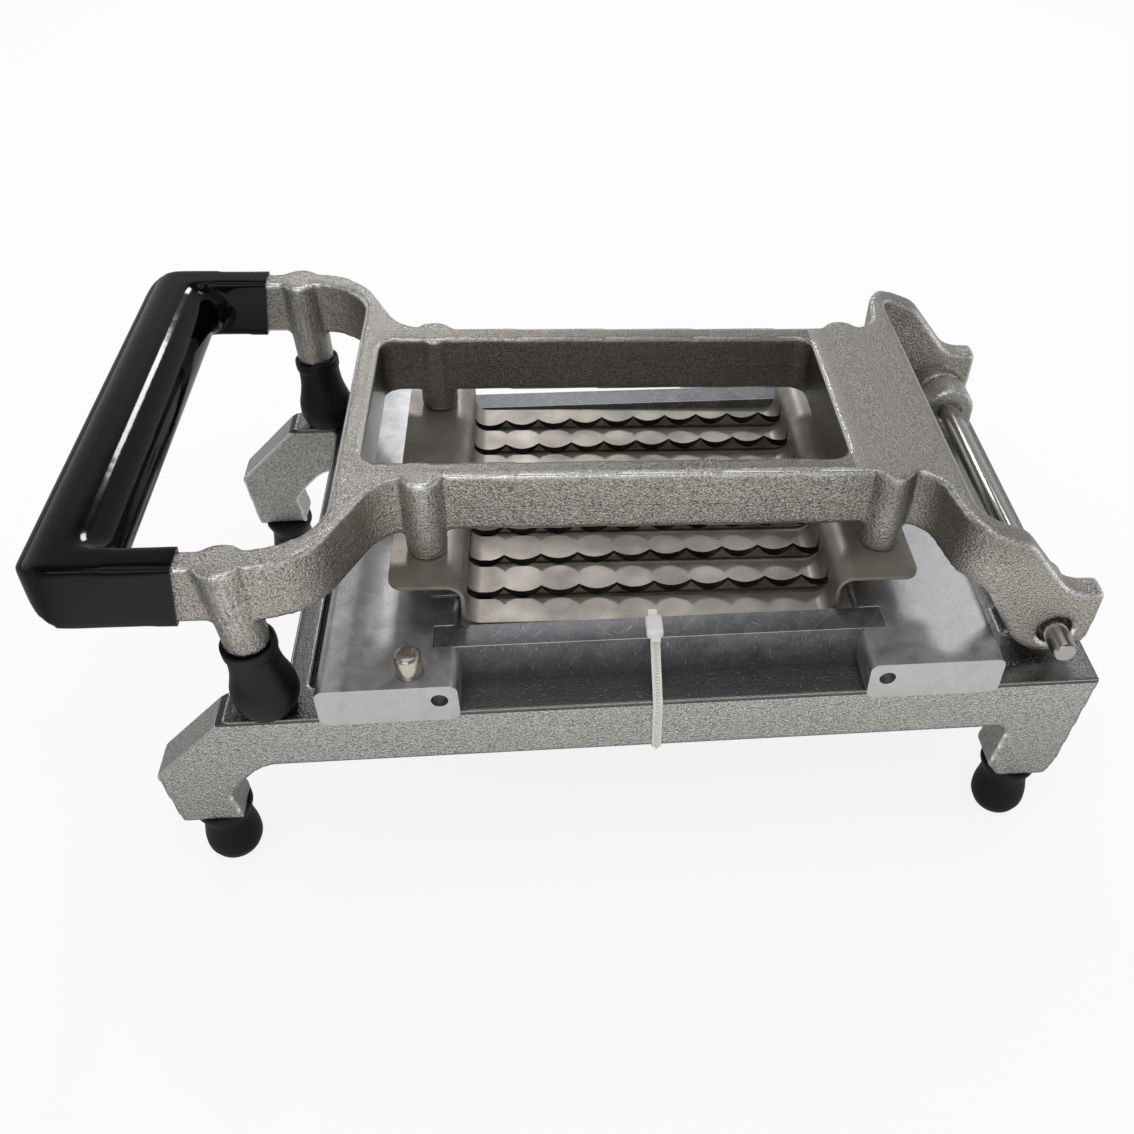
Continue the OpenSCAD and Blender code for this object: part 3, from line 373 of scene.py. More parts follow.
def drawn_steel(name, hex_colour, along, smoothest, roughest):
    """Cold drawn steel: bright, with faint die lines along one axis of the bar."""
    made, tree, shader, place = blank_material(name)
    squeeze = [1 / (45 * mm) if axis == along else 1 / (0.5 * mm) for axis in "XYZ"]
    lines = add(tree, "ShaderNodeMapping", {"Vector": place, "Scale": squeeze})
    streaks = add(tree, "ShaderNodeTexNoise", {"Vector": lines, "Scale": 1.0, "Detail": 3.0})
    rough = add(tree, "ShaderNodeMapRange", {"Value": streaks, "From Min": 0.3, "From Max": 0.7,
                                             "To Min": smoothest, "To Max": roughest})
    tone = add(tree, "ShaderNodeMapRange", {"Value": streaks, "From Min": 0.3, "From Max": 0.7,
                                            "To Min": 0.82})
    colour = add(tree, "ShaderNodeMix", {"Factor": tone, "A": "#3b3936", "B": hex_colour},
                 data_type="RGBA")
    bump = add(tree, "ShaderNodeBump", {"Height": streaks, "Strength": 0.25, "Distance": 0.02 * mm})
    feed(tree, shader, {"Base Color": colour, "Metallic": 1.0, "Roughness": rough, "Normal": bump})
    return made


screw_steel = drawn_steel("zinc_plated_screw_steel", "#a9a8a4", "Z", 0.28, 0.42)
for screws in ("foot_screws", "bumper_screws", "pan_screws"):
    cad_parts[screws].data.materials.clear()
    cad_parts[screws].data.materials.append(screw_steel)


# The blade cassette: two flat bars of extruded aluminium across the rails, let together by two
# spacer bars. They are cut by saw, bored for the blade rods and tumbled to a mottled blue grey. The
# spacer bars take the same metal in darker colours, as painted shade.

def tumbled_bar(name, dark_hex, mid_hex, pale_hex, roughness, sawn=False):
    """Tumbled aluminium bar: cloudy and finely scratched, with soft dents or, on an end, saw lines."""
    made, tree, shader, place = blank_material(name)
    clouds = add(tree, "ShaderNodeTexNoise", {"Vector": place, "Scale": 1 / (9 * mm), "Detail": 5.0,
                                              "Roughness": 0.6, "Distortion": 0.6})
    mottled = add(tree, "ShaderNodeValToRGB", {"Fac": clouds},
                  stops=[(0.3, dark_hex), (0.5, mid_hex), (0.72, pale_hex)])
    marks = 0.0
    for turn, shift in ((0.5, 3.1), (-0.9, 8.7), (1.35, 5.3)):
        laid = add(tree, "ShaderNodeMapping", {"Vector": place, "Rotation": (0, 0, turn),
                                               "Location": (shift, shift, shift)})
        drawn = add(tree, "ShaderNodeMapping", {"Vector": laid, "Scale": (1 / (9 * mm), 1 / (0.45 * mm),
                                                                          1 / (3 * mm))})
        run = add(tree, "ShaderNodeTexNoise", {"Vector": drawn, "Scale": 1.0, "Detail": 1.0})
        cut = add(tree, "ShaderNodeMapRange", {"Value": run, "From Min": 0.66, "From Max": 0.76})
        marks = add(tree, "ShaderNodeMath", {0: marks, 1: cut}, operation="MAXIMUM")
    scratched = add(tree, "ShaderNodeMath", {0: marks, 1: 0.45}, operation="MULTIPLY")
    colour = add(tree, "ShaderNodeMix", {"Factor": scratched, "A": mottled, "B": "#d9dbdd"},
                 data_type="RGBA")
    rough = add(tree, "ShaderNodeMapRange", {"Value": clouds, "From Min": 0.3, "From Max": 0.7,
                                             "To Min": roughness, "To Max": roughness + 0.1})
    if sawn:
        sawing = add(tree, "ShaderNodeMapping", {"Vector": place, "Rotation": (0, math.radians(62), 0),
                                                 "Scale": (1 / (0.35 * mm), 1 / (40 * mm), 1 / (40 * mm))})
        height = add(tree, "ShaderNodeTexNoise", {"Vector": sawing, "Scale": 1.0, "Detail": 2.0})
    else:
        dents = add(tree, "ShaderNodeTexVoronoi", {"Vector": place, "Scale": 1 / (2.2 * mm),
                                                   "Smoothness": 0.8}, feature="SMOOTH_F1")
        fine = add(tree, "ShaderNodeTexNoise", {"Vector": place, "Scale": 1 / (0.7 * mm), "Detail": 2.0})
        height = add(tree, "ShaderNodeMath", {0: dents, 1: 0.8, 2: fine}, operation="MULTIPLY_ADD")
    scored = add(tree, "ShaderNodeMath", {0: marks, 1: -0.5, 2: height}, operation="MULTIPLY_ADD")
    bump = add(tree, "ShaderNodeBump", {"Height": scored, "Strength": 0.5, "Distance": 0.06 * mm})
    feed(tree, shader, {"Base Color": colour, "Metallic": 0.75 if sawn else 1.0, "Roughness": rough,
                        "Normal": bump})
    return made


def machined_copy(name, node, edge_break, *materials, edge_slot=-1):
    """A CAD solid in whole flat faces, with its sharp edges broken by a small live bevel. The bevel
    takes the material at edge_slot, or that of the face beside it."""
    mesh = merged_copy(name, node)
    work = bmesh.new()
    work.from_mesh(mesh)
    bmesh.ops.dissolve_limit(work, angle_limit=math.radians(0.6), verts=work.verts, edges=work.edges)
    work.to_mesh(mesh)
    work.free()
    made = show(name, mesh, *materials)
    mesh.shade_smooth()
    mesh.set_sharp_from_angle(angle=math.radians(30))
    edge = made.modifiers.new("Broken edges", "BEVEL")
    edge.width, edge.segments, edge.material = edge_break, 2, edge_slot
    edge.limit_method, edge.angle_limit, edge.harden_normals = "ANGLE", math.radians(35), False
    return made


block_metal = tumbled_bar("tumbled_aluminium_block", "#b8b9bb", "#cdcecf", "#e2e2e2", 0.32)
# The spacer bars: the blocks' aluminium in darker colours, as painted shade.
shaded_bar_metal = tumbled_bar("tumbled_aluminium_bar", "#6f7174", "#808184", "#929395", 0.46)
sawn_metal = tumbled_bar("sawn_aluminium_end", "#c2c1bf", "#cac9c7", "#d4d3d0", 0.32, sawn=True)
# Broken edges of blocks and bars: worn bright, with a painted highlight on top.
worn_edge_highlight = tumbled_bar("worn_aluminium_edge", "#dadbdb", "#e8e8e8", "#f4f4f4", 0.36)
for node in ("left_block", "right_block"):
    block = machined_copy(node + "_piece", node, 0.5 * mm, block_metal, sawn_metal, worn_edge_highlight, edge_slot=2)
    end_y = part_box(node)[1].y
    for face in block.data.polygons:
        if abs(face.normal.y) > 0.95 and abs(abs(face.center.y) - end_y) < 0.1 * mm:
            face.material_index = 1
    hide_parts(node)
    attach(block, "base")
for node in ("front_bar", "rear_bar"):
    bar = machined_copy(node + "_piece", node, 0.7 * mm, shaded_bar_metal, worn_edge_highlight, edge_slot=1)
    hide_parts(node)
    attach(bar, "base")


# The seven blades: stainless strip, 1 mm thick, ground by a wheel laid over at the bevel angle, so
# that ten scallops with ground bevels meet in points; the bevels are coloured near black as painted
# shade. Two rods pass through all their ends.

def blade_tree():
    """Sets blades side by side across the cassette and dresses their ground bevels apart."""
    tree, given = modifier_tree("Blades in a row", "Blade", [
        ("Count", "Int"), ("Spacing", "Float"), ("First", "Float"), ("Strip", "Material"),
        ("Ground", "Material")])
    start = add(tree, "ShaderNodeCombineXYZ", {"Y": given["First"]})
    step = add(tree, "ShaderNodeCombineXYZ", {"Y": given["Spacing"]})
    places = add(tree, "GeometryNodeMeshLine", {"Count": given["Count"], "Start Location": start,
                                                "Offset": step})
    copies = add(tree, "GeometryNodeInstanceOnPoints", {"Points": places, "Instance": given["Blade"]})
    whole = add(tree, "GeometryNodeRealizeInstances", {"Geometry": copies})
    strip = add(tree, "GeometryNodeSetMaterial", {"Geometry": whole, "Material": given["Strip"]})
    ground = add(tree, "GeometryNodeInputNamedAttribute", {"Name": "ground"}, data_type="BOOLEAN")
    dressed = add(tree, "GeometryNodeSetMaterial", {"Geometry": strip, "Selection": ground,
                                                    "Material": given["Ground"]})
    add(tree, "NodeGroupOutput", {0: dressed})
    return tree


def scalloped_blade(low, high, shoulder, middle, count, pitch, depth, bevel):
    """One blade in the XZ plane, to its box: plain back, front ground down along the scallops."""
    first, last = middle - count * pitch / 2, middle + count * pitch / 2
    half_thick, sliver = (high.y - low.y) / 2, 0.001 * mm
    line = [(low.x, shoulder, sliver), (first, shoulder, sliver)]
    for scallop in range(count):
        for step in range(1 if scallop else 0, 13):
            t = step / 12 * 2 - 1
            hollow = 1 - t * t
            line.append((first + (scallop + (t + 1) / 2) * pitch, high.z - depth * hollow,
                         bevel * (0.14 + 0.86 * hollow)))
    line += [(last, shoulder, sliver), (high.x, shoulder, sliver)]
    strip = bmesh.new()
    back_top = [strip.verts.new((x, half_thick, z)) for x, z, _ in line]
    front_top = [strip.verts.new((x, -half_thick, z - cut)) for x, z, cut in line]
    back_low = [strip.verts.new((x, half_thick, low.z)) for x, _, _ in line]
    front_low = [strip.verts.new((x, -half_thick, low.z)) for x, _, _ in line]
    for i in range(len(line) - 1):
        if line[i + 1][0] - line[i][0] < sliver:
            continue
        strip.faces.new([front_low[i], front_low[i + 1], front_top[i + 1], front_top[i]])
        strip.faces.new([back_low[i], back_top[i], back_top[i + 1], back_low[i + 1]])
        strip.faces.new([front_top[i], front_top[i + 1], back_top[i + 1], back_top[i]])
        strip.faces.new([front_low[i], back_low[i], back_low[i + 1], front_low[i + 1]])
    strip.faces.new([front_low[0], front_top[0], back_top[0], back_low[0]])
    strip.faces.new([front_low[-1], back_low[-1], back_top[-1], front_top[-1]])
    bmesh.ops.remove_doubles(strip, verts=strip.verts, dist=0.0005 * mm)
    bmesh.ops.recalc_face_normals(strip, faces=strip.faces)
    mesh = bpy.data.meshes.new("blade")
    strip.to_mesh(mesh)
    strip.free()
    ground = mesh.attributes.new("ground", "BOOLEAN", "FACE")
    for face in mesh.polygons:
        ground.data[face.index].value = face.normal.z > 0.2 and abs(face.normal.y) > 0.2
    return mesh


def blade_metal(name, hex_light, hex_dark, smoothest, roughest):
    """Rolled stainless strip: a satin mirror with long rolling lines and a few water marks."""
    made, tree, shader, place = blank_material(name)
    lines = add(tree, "ShaderNodeMapping", {"Vector": place, "Scale": (1 / (60 * mm), 1 / (5 * mm),
                                                                       1 / (1.3 * mm))})
    rolling = add(tree, "ShaderNodeTexNoise", {"Vector": lines, "Scale": 1.0, "Detail": 4.0})
    spots = add(tree, "ShaderNodeTexNoise", {"Vector": place, "Scale": 1 / (14 * mm), "Detail": 4.0,
                                             "Roughness": 0.7})
    stain = add(tree, "ShaderNodeMapRange", {"Value": spots, "From Min": 0.4, "From Max": 0.68})
    colour = add(tree, "ShaderNodeMix", {"Factor": stain, "A": hex_light, "B": hex_dark}, data_type="RGBA")
    rough = add(tree, "ShaderNodeMapRange", {"Value": rolling, "From Min": 0.3, "From Max": 0.7,
                                             "To Min": smoothest, "To Max": roughest})
    bump = add(tree, "ShaderNodeBump", {"Height": rolling, "Strength": 0.15, "Distance": 0.02 * mm})
    feed(tree, shader, {"Base Color": colour, "Metallic": 1.0, "Roughness": rough, "Normal": bump})
    return made


blade_count = 7
blade_low, blade_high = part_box("blade_1")
blade_spacing = (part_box("blade_7")[0].y - blade_low.y) / (blade_count - 1)
strip_steel = blade_metal("rolled_stainless_strip", "#a09a90", "#757068", 0.2, 0.32)
# The ground bevels: near black, as painted shade.
shaded_bevel_steel = blade_metal("ground_blade_bevel", "#2c2a28", "#1c1a19", 0.3, 0.4)
one_blade = scalloped_blade(blade_low, blade_high, shoulder=105.5 * mm, middle=23.4 * mm, count=10,
                            pitch=14.9 * mm, depth=2.9 * mm, bevel=2.6 * mm)
blades = show("blades", from_tree(
    "blades_row", one_blade, blade_tree(), count=blade_count, spacing=blade_spacing,
    first=centre("blade_1").y, strip=strip_steel, ground=shaded_bevel_steel))
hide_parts(*["blade_%d" % (i + 1) for i in range(blade_count)])
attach(blades, "base")


def turned_rod(name, node, chamfer, finish):
    """A round rod along Y in place of its CAD solid, with both ends chamfered."""
    low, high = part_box(node)
    radius, half = (high.x - low.x) / 2, (high.y - low.y) / 2
    end = [(radius, half - 1.25 * chamfer), (radius - 0.15 * chamfer, half - chamfer * 0.85),
           (radius - chamfer, half), (0, half)]
    mesh = turned(name, [(r, -z) for r, z in reversed(end)] + end, 64)
    mesh.transform(Matrix.Translation(centre(node)) @ Matrix.Rotation(math.radians(-90), 4, "X"))
    made = show(name, mesh, finish)
    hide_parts(node)
    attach(made, "base")


rod_steel = drawn_steel("ground_rod_steel", "#bdbab4", "Y", 0.12, 0.3)
turned_rod("left_rod", "left_blade_rod", 0.6 * mm, rod_steel)
turned_rod("right_rod", "right_blade_rod", 0.6 * mm, rod_steel)


# The two locating pins: ground steel dowels pressed into the rails, chamfered on top so that the
# cassette drops over them. They are polished by use and show warm reflections.

pin_low, pin_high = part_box("locating_pins")
pin_radius, shank_radius = 5 * mm, 3 * mm
pin_section = [
    (0, pin_low.z), (shank_radius, pin_low.z), (shank_radius, rail_top), (pin_radius - 0.2 * mm, rail_top),
    (pin_radius, rail_top + 0.2 * mm), (pin_radius, pin_high.z - 1.25 * mm),
    (pin_radius - 0.12 * mm, pin_high.z - 0.9 * mm), (pin_radius - 0.85 * mm, pin_high.z - 0.1 * mm),
    (pin_radius - 1.0 * mm, pin_high.z), (0, pin_high.z)]
pin_steel = drawn_steel("polished_dowel_steel", "#cdc6b8", "Z", 0.12, 0.26)
pins = show("pins", from_tree(
    "pins_row", turned("pin", pin_section, 64), set_in_rows, middle=(centre("locating_pins").x, 0, 0),
    length_apart=0.0, depth_apart=2 * (pin_high.y - pin_radius), finish=pin_steel))
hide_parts("locating_pins")
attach(pins, "base")


# The hinge rod: ground steel bar pressed through the two lugs of the base, with its chamfered ends
# standing in the ears of the lever.

turned_rod("hinge_bar", "hinge_rod", 0.8 * mm, rod_steel)


# The cable tie: a white nylon packing tie round the front bar and the front rail. Its strap has
# cross teeth, its head lies on the bar and the short end of the strap passes over the bar.

def tie_tree():
    """A toothed strap along the modifier's own edges."""
    tree, given = modifier_tree("Toothed strap", "Path", [
        ("Strap width", "Float"), ("Strap thickness", "Float"), ("Tooth pitch", "Float"),
        ("Tooth size", "Vector"), ("Finish", "Material")])
    line = add(tree, "GeometryNodeMeshToCurve", {"Mesh": given["Path"]})
    flat = add(tree, "GeometryNodeSetCurveNormal", {"Curve": line, "Normal": (1, 0, 0)}, mode="FREE")
    section = add(tree, "GeometryNodeCurvePrimitiveQuadrilateral", {"Width": given["Strap width"],
                                                                    "Height": given["Strap thickness"]})
    strap = add(tree, "GeometryNodeCurveToMesh", {"Curve": flat, "Profile Curve": section,
                                                  "Fill Caps": True})
    even = add(tree, "GeometryNodeCurveToPoints", {"Curve": flat, "Length": given["Tooth pitch"]},
               mode="LENGTH")
    tooth = add(tree, "GeometryNodeMeshCube", {"Size": given["Tooth size"]})
    teeth = add(tree, "GeometryNodeInstanceOnPoints", {"Points": even, "Instance": tooth,
                                                       "Rotation": even.outputs["Rotation"]})
    both = add(tree, "GeometryNodeJoinGeometry")
    for piece in (strap, teeth):
        feed(tree, both, {"Geometry": piece})
    whole = add(tree, "GeometryNodeRealizeInstances", {"Geometry": both})
    dressed = add(tree, "GeometryNodeSetMaterial", {"Geometry": whole, "Material": given["Finish"]})
    add(tree, "NodeGroupOutput", {0: dressed})
    return tree


def natural_nylon():
    """Natural nylon 6.6, moulded: milky white that lets some light through."""
    made, tree, shader, place = blank_material("natural_nylon")
    haze = add(tree, "ShaderNodeTexNoise", {"Vector": place, "Scale": 1 / (2.5 * mm), "Detail": 3.0})
    colour = add(tree, "ShaderNodeMix", {"Factor": haze, "A": "#e9e8e2", "B": "#dcdad2"}, data_type="RGBA")
    bump = add(tree, "ShaderNodeBump", {"Height": haze, "Strength": 0.15, "Distance": 0.05 * mm})
    feed(tree, shader, {"Base Color": colour, "Normal": bump, "Roughness": 0.38, "IOR": 1.53,
                        "Subsurface Weight": 0.35, "Subsurface Radius": (1.0, 1.0, 0.9),
                        "Subsurface Scale": 0.8 * mm})
    return made


def rounded_ring(points, radius, steps):
    """A closed line with its corners rounded, close enough to bend smoothly."""
    ring = []
    for i in range(len(points)):
        a, p, b = (Vector(points[j % len(points)]) for j in (i - 1, i, i + 1))
        start, end = p + (a - p).normalized() * radius, p + (b - p).normalized() * radius
        for k in range(steps + 1):
            t = k / steps
            ring.append(start * (1 - t) ** 2 + p * 2 * t * (1 - t) + end * t * t)
    return ring


tie_x = centre("cable_tie").x
strap_corners = [(-102.1, 61.5), (-84.5, 61.4), (-72.8, 88.0), (-72.8, 106.5), (-84.8, 106.5), (-102.1, 88.2)]
ring = rounded_ring(strap_corners, radius=1.3, steps=6)
links = [(i, (i + 1) % len(ring)) for i in range(len(ring))]
path = bpy.data.meshes.new("tie_path")
path.from_pydata([(tie_x, p.x * mm, p.y * mm) for p in ring], links, [])
strap_mesh = from_tree("strap", path, tie_tree(), strap_width=3.7 * mm, strap_thickness=0.75 * mm,
                       tooth_pitch=1.2 * mm, tooth_size=(1.0 * mm, 2.6 * mm, 0.55 * mm),
                       finish=natural_nylon())
head = (-3.25, -86.0, 106.1), (3.25, -76.2, 110.4)
strap_entry = (-1.85, -76.4, 107.6), (1.85, -71.6, 108.5)
loose_end = (-1.85, -89.5, 108.3), (1.85, -85.8, 109.2)
lock = bmesh.new()
lock.from_mesh(strap_mesh)
for corners in (head, strap_entry, loose_end):
    low, high = (Vector((tie_x, 0, 0)) + Vector(corner) * mm for corner in corners)
    fitted = Matrix.Translation((low + high) / 2) @ Matrix.Diagonal((high - low).to_4d())
    box = bmesh.ops.create_cube(lock, size=1, matrix=fitted)
    edges = {edge for v in box["verts"] for edge in v.link_edges}
    bmesh.ops.bevel(lock, geom=list(edges), offset=min(1.3 * mm, 0.45 * (high.z - low.z)), segments=4,
                    affect="EDGES", profile=0.5)
lock.to_mesh(strap_mesh)
lock.free()
strap_mesh.shade_smooth()
strap_mesh.set_sharp_from_angle(angle=math.radians(35))
strap = show("tie_strap", strap_mesh)
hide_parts("cable_tie")
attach(strap, "base")


# The lever casting: two arms that sweep into a window frame, a web plate, posts, bosses and two
# hinge ears, all one sand casting in aluminium, tumbled like the base but with rounder edges.

def shade_window_and_web(metal, middle, half_length, half_depth, rim):
    """Lays painted shade on the walls of the window, below its rim, and on the top of the web plate
    between the window and the ears."""
    tree = metal.node_tree
    shader = tree.nodes["Principled BSDF"]
    rubbed_colour = shader.inputs["Base Color"].links[0].from_socket
    place = add(tree, "ShaderNodeTexCoord").outputs["Object"]
    where = add(tree, "ShaderNodeSeparateXYZ", {"Vector": place}).outputs
    length = add(tree, "ShaderNodeMath", {0: where["X"], 1: middle, 2: half_length}, operation="COMPARE")
    depth = add(tree, "ShaderNodeMath", {0: where["Y"], 1: 0.0, 2: half_depth}, operation="COMPARE")
    window = add(tree, "ShaderNodeMath", {0: length, 1: depth}, operation="MULTIPLY")
    low = add(tree, "ShaderNodeMapRange", {"Value": where["Z"], "From Min": rim + 4 * mm, "From Max": rim,
                                           "To Max": 0.55})
    walls = add(tree, "ShaderNodeMath", {0: window, 1: low}, operation="MULTIPLY")
    beyond = add(tree, "ShaderNodeMapRange", {"Value": where["X"], "From Min": 96 * mm,
                                              "From Max": 106 * mm, "To Max": 0.3})
    upper = add(tree, "ShaderNodeMapRange", {"Value": where["Z"], "From Min": 138 * mm,
                                             "From Max": 150 * mm})
    plate = add(tree, "ShaderNodeMath", {0: beyond, 1: upper}, operation="MULTIPLY")
    painted_shade = add(tree, "ShaderNodeMath", {0: walls, 1: plate}, operation="MAXIMUM")
    # Painted shade: these walls and the plate are darkened towards #47433d.
    colour = add(tree, "ShaderNodeMix", {"Factor": painted_shade, "A": rubbed_colour, "B": "#47433d"},
                 data_type="RGBA")
    feed(tree, shader, {"Base Color": colour})


hinge = centre("hinge_rod")
rest_tip = math.radians(1.66)
lever_metal = cast_aluminium("tumbled_cast_aluminium_lever", "#bbb6ac", "#6b6760", "#e8e5df", "#f8f7f4",
                             flash_z=142 * mm + math.tan(rest_tip) * hinge.x, flash_tilt=rest_tip)
# Painted shade in the window and on the web plate.
shade_window_and_web(lever_metal, middle=5.4 * mm, half_length=94.5 * mm, half_depth=50 * mm, rim=160 * mm)
lever_mesh = tumbled_casting("lever_skin", "handle_casting", passes=8, reach=1.0 * mm)
lever = show("lever_frame", lever_mesh, lever_metal)
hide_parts("handle_casting")
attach(lever, "handle")


# The grip: black vinyl, dipped hot over the outer bar and the arm ends. It is a thick gloss skin
# that ends in a clean step on each arm.

def dipped_vinyl():
    """Plastisol dip: deep gloss black with a long soft orange peel."""
    made, tree, shader, place = blank_material("dipped_black_vinyl")
    peel = add(tree, "ShaderNodeTexNoise", {"Vector": place, "Scale": 1 / (11 * mm), "Detail": 2.0})
    bump = add(tree, "ShaderNodeBump", {"Height": peel, "Strength": 0.3, "Distance": 0.2 * mm})
    rough = add(tree, "ShaderNodeMapRange", {"Value": peel, "To Min": 0.06, "To Max": 0.11})
    feed(tree, shader, {"Base Color": "#040405", "Roughness": rough, "Normal": bump, "IOR": 1.54,
                        "Specular IOR Level": 0.22})
    return made


def outer_shell(mesh, end_point, end_normal, longer):
    """Keeps the outside of a hollow sleeve and lengthens its two ends past their slanted faces."""
    work = bmesh.new()
    work.from_mesh(mesh)
    away = {v: abs((v.co - end_point).dot(end_normal)) for v in work.verts}
    rims = [f for f in work.faces if all(away[v] < 0.05 * mm for v in f.verts)]
    bmesh.ops.delete(work, geom=rims, context="FACES_ONLY")
    unseen, groups = set(work.verts), []
    while unseen:
        reached, group = [unseen.pop()], set()
        while reached:
            v = reached.pop()
            group.add(v)
            new = {e.other_vert(v) for e in v.link_edges} & unseen
            unseen -= new
            reached += new
        groups.append(group)
    groups.sort(key=lambda g: max(v.co.y for v in g) - min(v.co.y for v in g))
    bmesh.ops.delete(work, geom=[v for g in groups[:-1] for v in g], context="VERTS")
    caps = bmesh.ops.holes_fill(work, edges=[e for e in work.edges if e.is_boundary])["faces"]
    grown = bmesh.ops.extrude_face_region(work, geom=caps)["geom"]
    ends = [g for g in grown if isinstance(g, bmesh.types.BMVert)]
    bmesh.ops.translate(work, vec=end_normal * longer, verts=ends)
    bmesh.ops.delete(work, geom=[f for f in caps if f.is_valid], context="FACES_ONLY")
    bmesh.ops.recalc_face_normals(work, faces=work.faces)
    work.to_mesh(mesh)
    work.free()


tipped = Matrix.Rotation(rest_tip, 4, "Y")
end_point = tipped @ (Vector((-142.4 * mm, 0, 156.9 * mm)) - hinge) + hinge
end_normal = tipped.to_3x3() @ Vector((27.3, 0, -3.4)).normalized()
sleeve = merged_copy("grip_sleeve", "grip")
outer_shell(sleeve, end_point, end_normal, longer=8 * mm)
grip_mesh = rounded_skin("grip_skin", sleeve, 1.2 * mm, passes=6)
trim = bmesh.new()
trim.from_mesh(grip_mesh)
bmesh.ops.bisect_plane(trim, geom=trim.verts[:] + trim.edges[:] + trim.faces[:], plane_co=end_point,
                       plane_no=end_normal, clear_outer=True)
bmesh.ops.holes_fill(trim, edges=[e for e in trim.edges if e.is_boundary])
bmesh.ops.recalc_face_normals(trim, faces=trim.faces)
trim.to_mesh(grip_mesh)
trim.free()
grip_mesh.shade_smooth()
grip_mesh.set_sharp_from_angle(angle=math.radians(40))
grip = show("grip_cover", grip_mesh, dipped_vinyl())
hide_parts("grip")
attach(grip, "handle")


# The two stops: rubber cups of the same make as the feet, screwed up into the posts. They meet the
# side rails when the lever is down.

post_top = Vector((-128.6, 96.0, 155.7)) * mm
post_lean, post_splay = math.radians(3.1), math.radians(2.7)
stop_height, stop_drop = 33.96 * mm, 75.76 * mm
stop_section = rubber_profile(height=stop_height, rim=10.1 * mm, waist=9.5 * mm, flare=12.6 * mm,
                              recess=stop_height - 14 * mm, bore=3.1 * mm, lip=1.2 * mm)
pair = bmesh.new()
for side in (-1, 1):
    one_stop = turned("stop", stop_section, 72)
    one_stop.transform(Matrix.Translation(hinge) @ tipped @ Matrix.Translation(-hinge)
                       @ Matrix.Translation((post_top.x, side * post_top.y, post_top.z))
                       @ Matrix.Rotation(-post_lean, 4, "Y") @ Matrix.Rotation(-side * post_splay, 4, "X")
                       @ Matrix.Translation((0, 0, -stop_drop)))
    pair.from_mesh(one_stop)
stops_mesh = bpy.data.meshes.new("stops_mesh")
pair.to_mesh(stops_mesh)
pair.free()
stops_mesh.shade_smooth()
stops_mesh.set_sharp_from_angle(angle=math.radians(35))
stops = show("stops", stops_mesh, rubber)
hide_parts("front_bumper", "rear_bumper")
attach(stops, "handle")


# The pusher pan: one stainless sheet, 1.5 mm thick, folded down between two flanges and slotted
# for the blades. It is screwed up into the four bosses of the lever.

def pan_sheet():
    """Fine polished stainless sheet: soft mirror, warm, with handling marks."""
    made, tree, shader, place = blank_material("fine_polished_stainless_sheet")
    lines = add(tree, "ShaderNodeMapping", {"Vector": place, "Scale": (1 / (0.7 * mm), 1 / (40 * mm),
                                                                       1 / (40 * mm))})
    brushed = add(tree, "ShaderNodeTexNoise", {"Vector": lines, "Scale": 1.0, "Detail": 3.0})
    haze = add(tree, "ShaderNodeTexNoise", {"Vector": place, "Scale": 1 / (16 * mm), "Detail": 4.0})
    smear = add(tree, "ShaderNodeMapRange", {"Value": haze, "From Min": 0.3, "From Max": 0.7})
    colour = add(tree, "ShaderNodeMix", {"Factor": smear, "A": "#bcb6ad", "B": "#9f9a92"}, data_type="RGBA")
    rough = add(tree, "ShaderNodeMapRange", {"Value": smear, "To Min": 0.47, "To Max": 0.56})
    bump = add(tree, "ShaderNodeBump", {"Height": brushed, "Strength": 0.12, "Distance": 0.02 * mm})
    feed(tree, shader, {"Base Color": colour, "Metallic": 1.0, "Roughness": rough, "Normal": bump})
    return made


pan = machined_copy("pan_piece", "pusher_pan", 0.22 * mm, pan_sheet())
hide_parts("pusher_pan")
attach(pan, "handle")


# The studio: a white floor that keeps the shadow, a pale surround with a darker ceiling for the
# metal to reflect, and soft lamps.

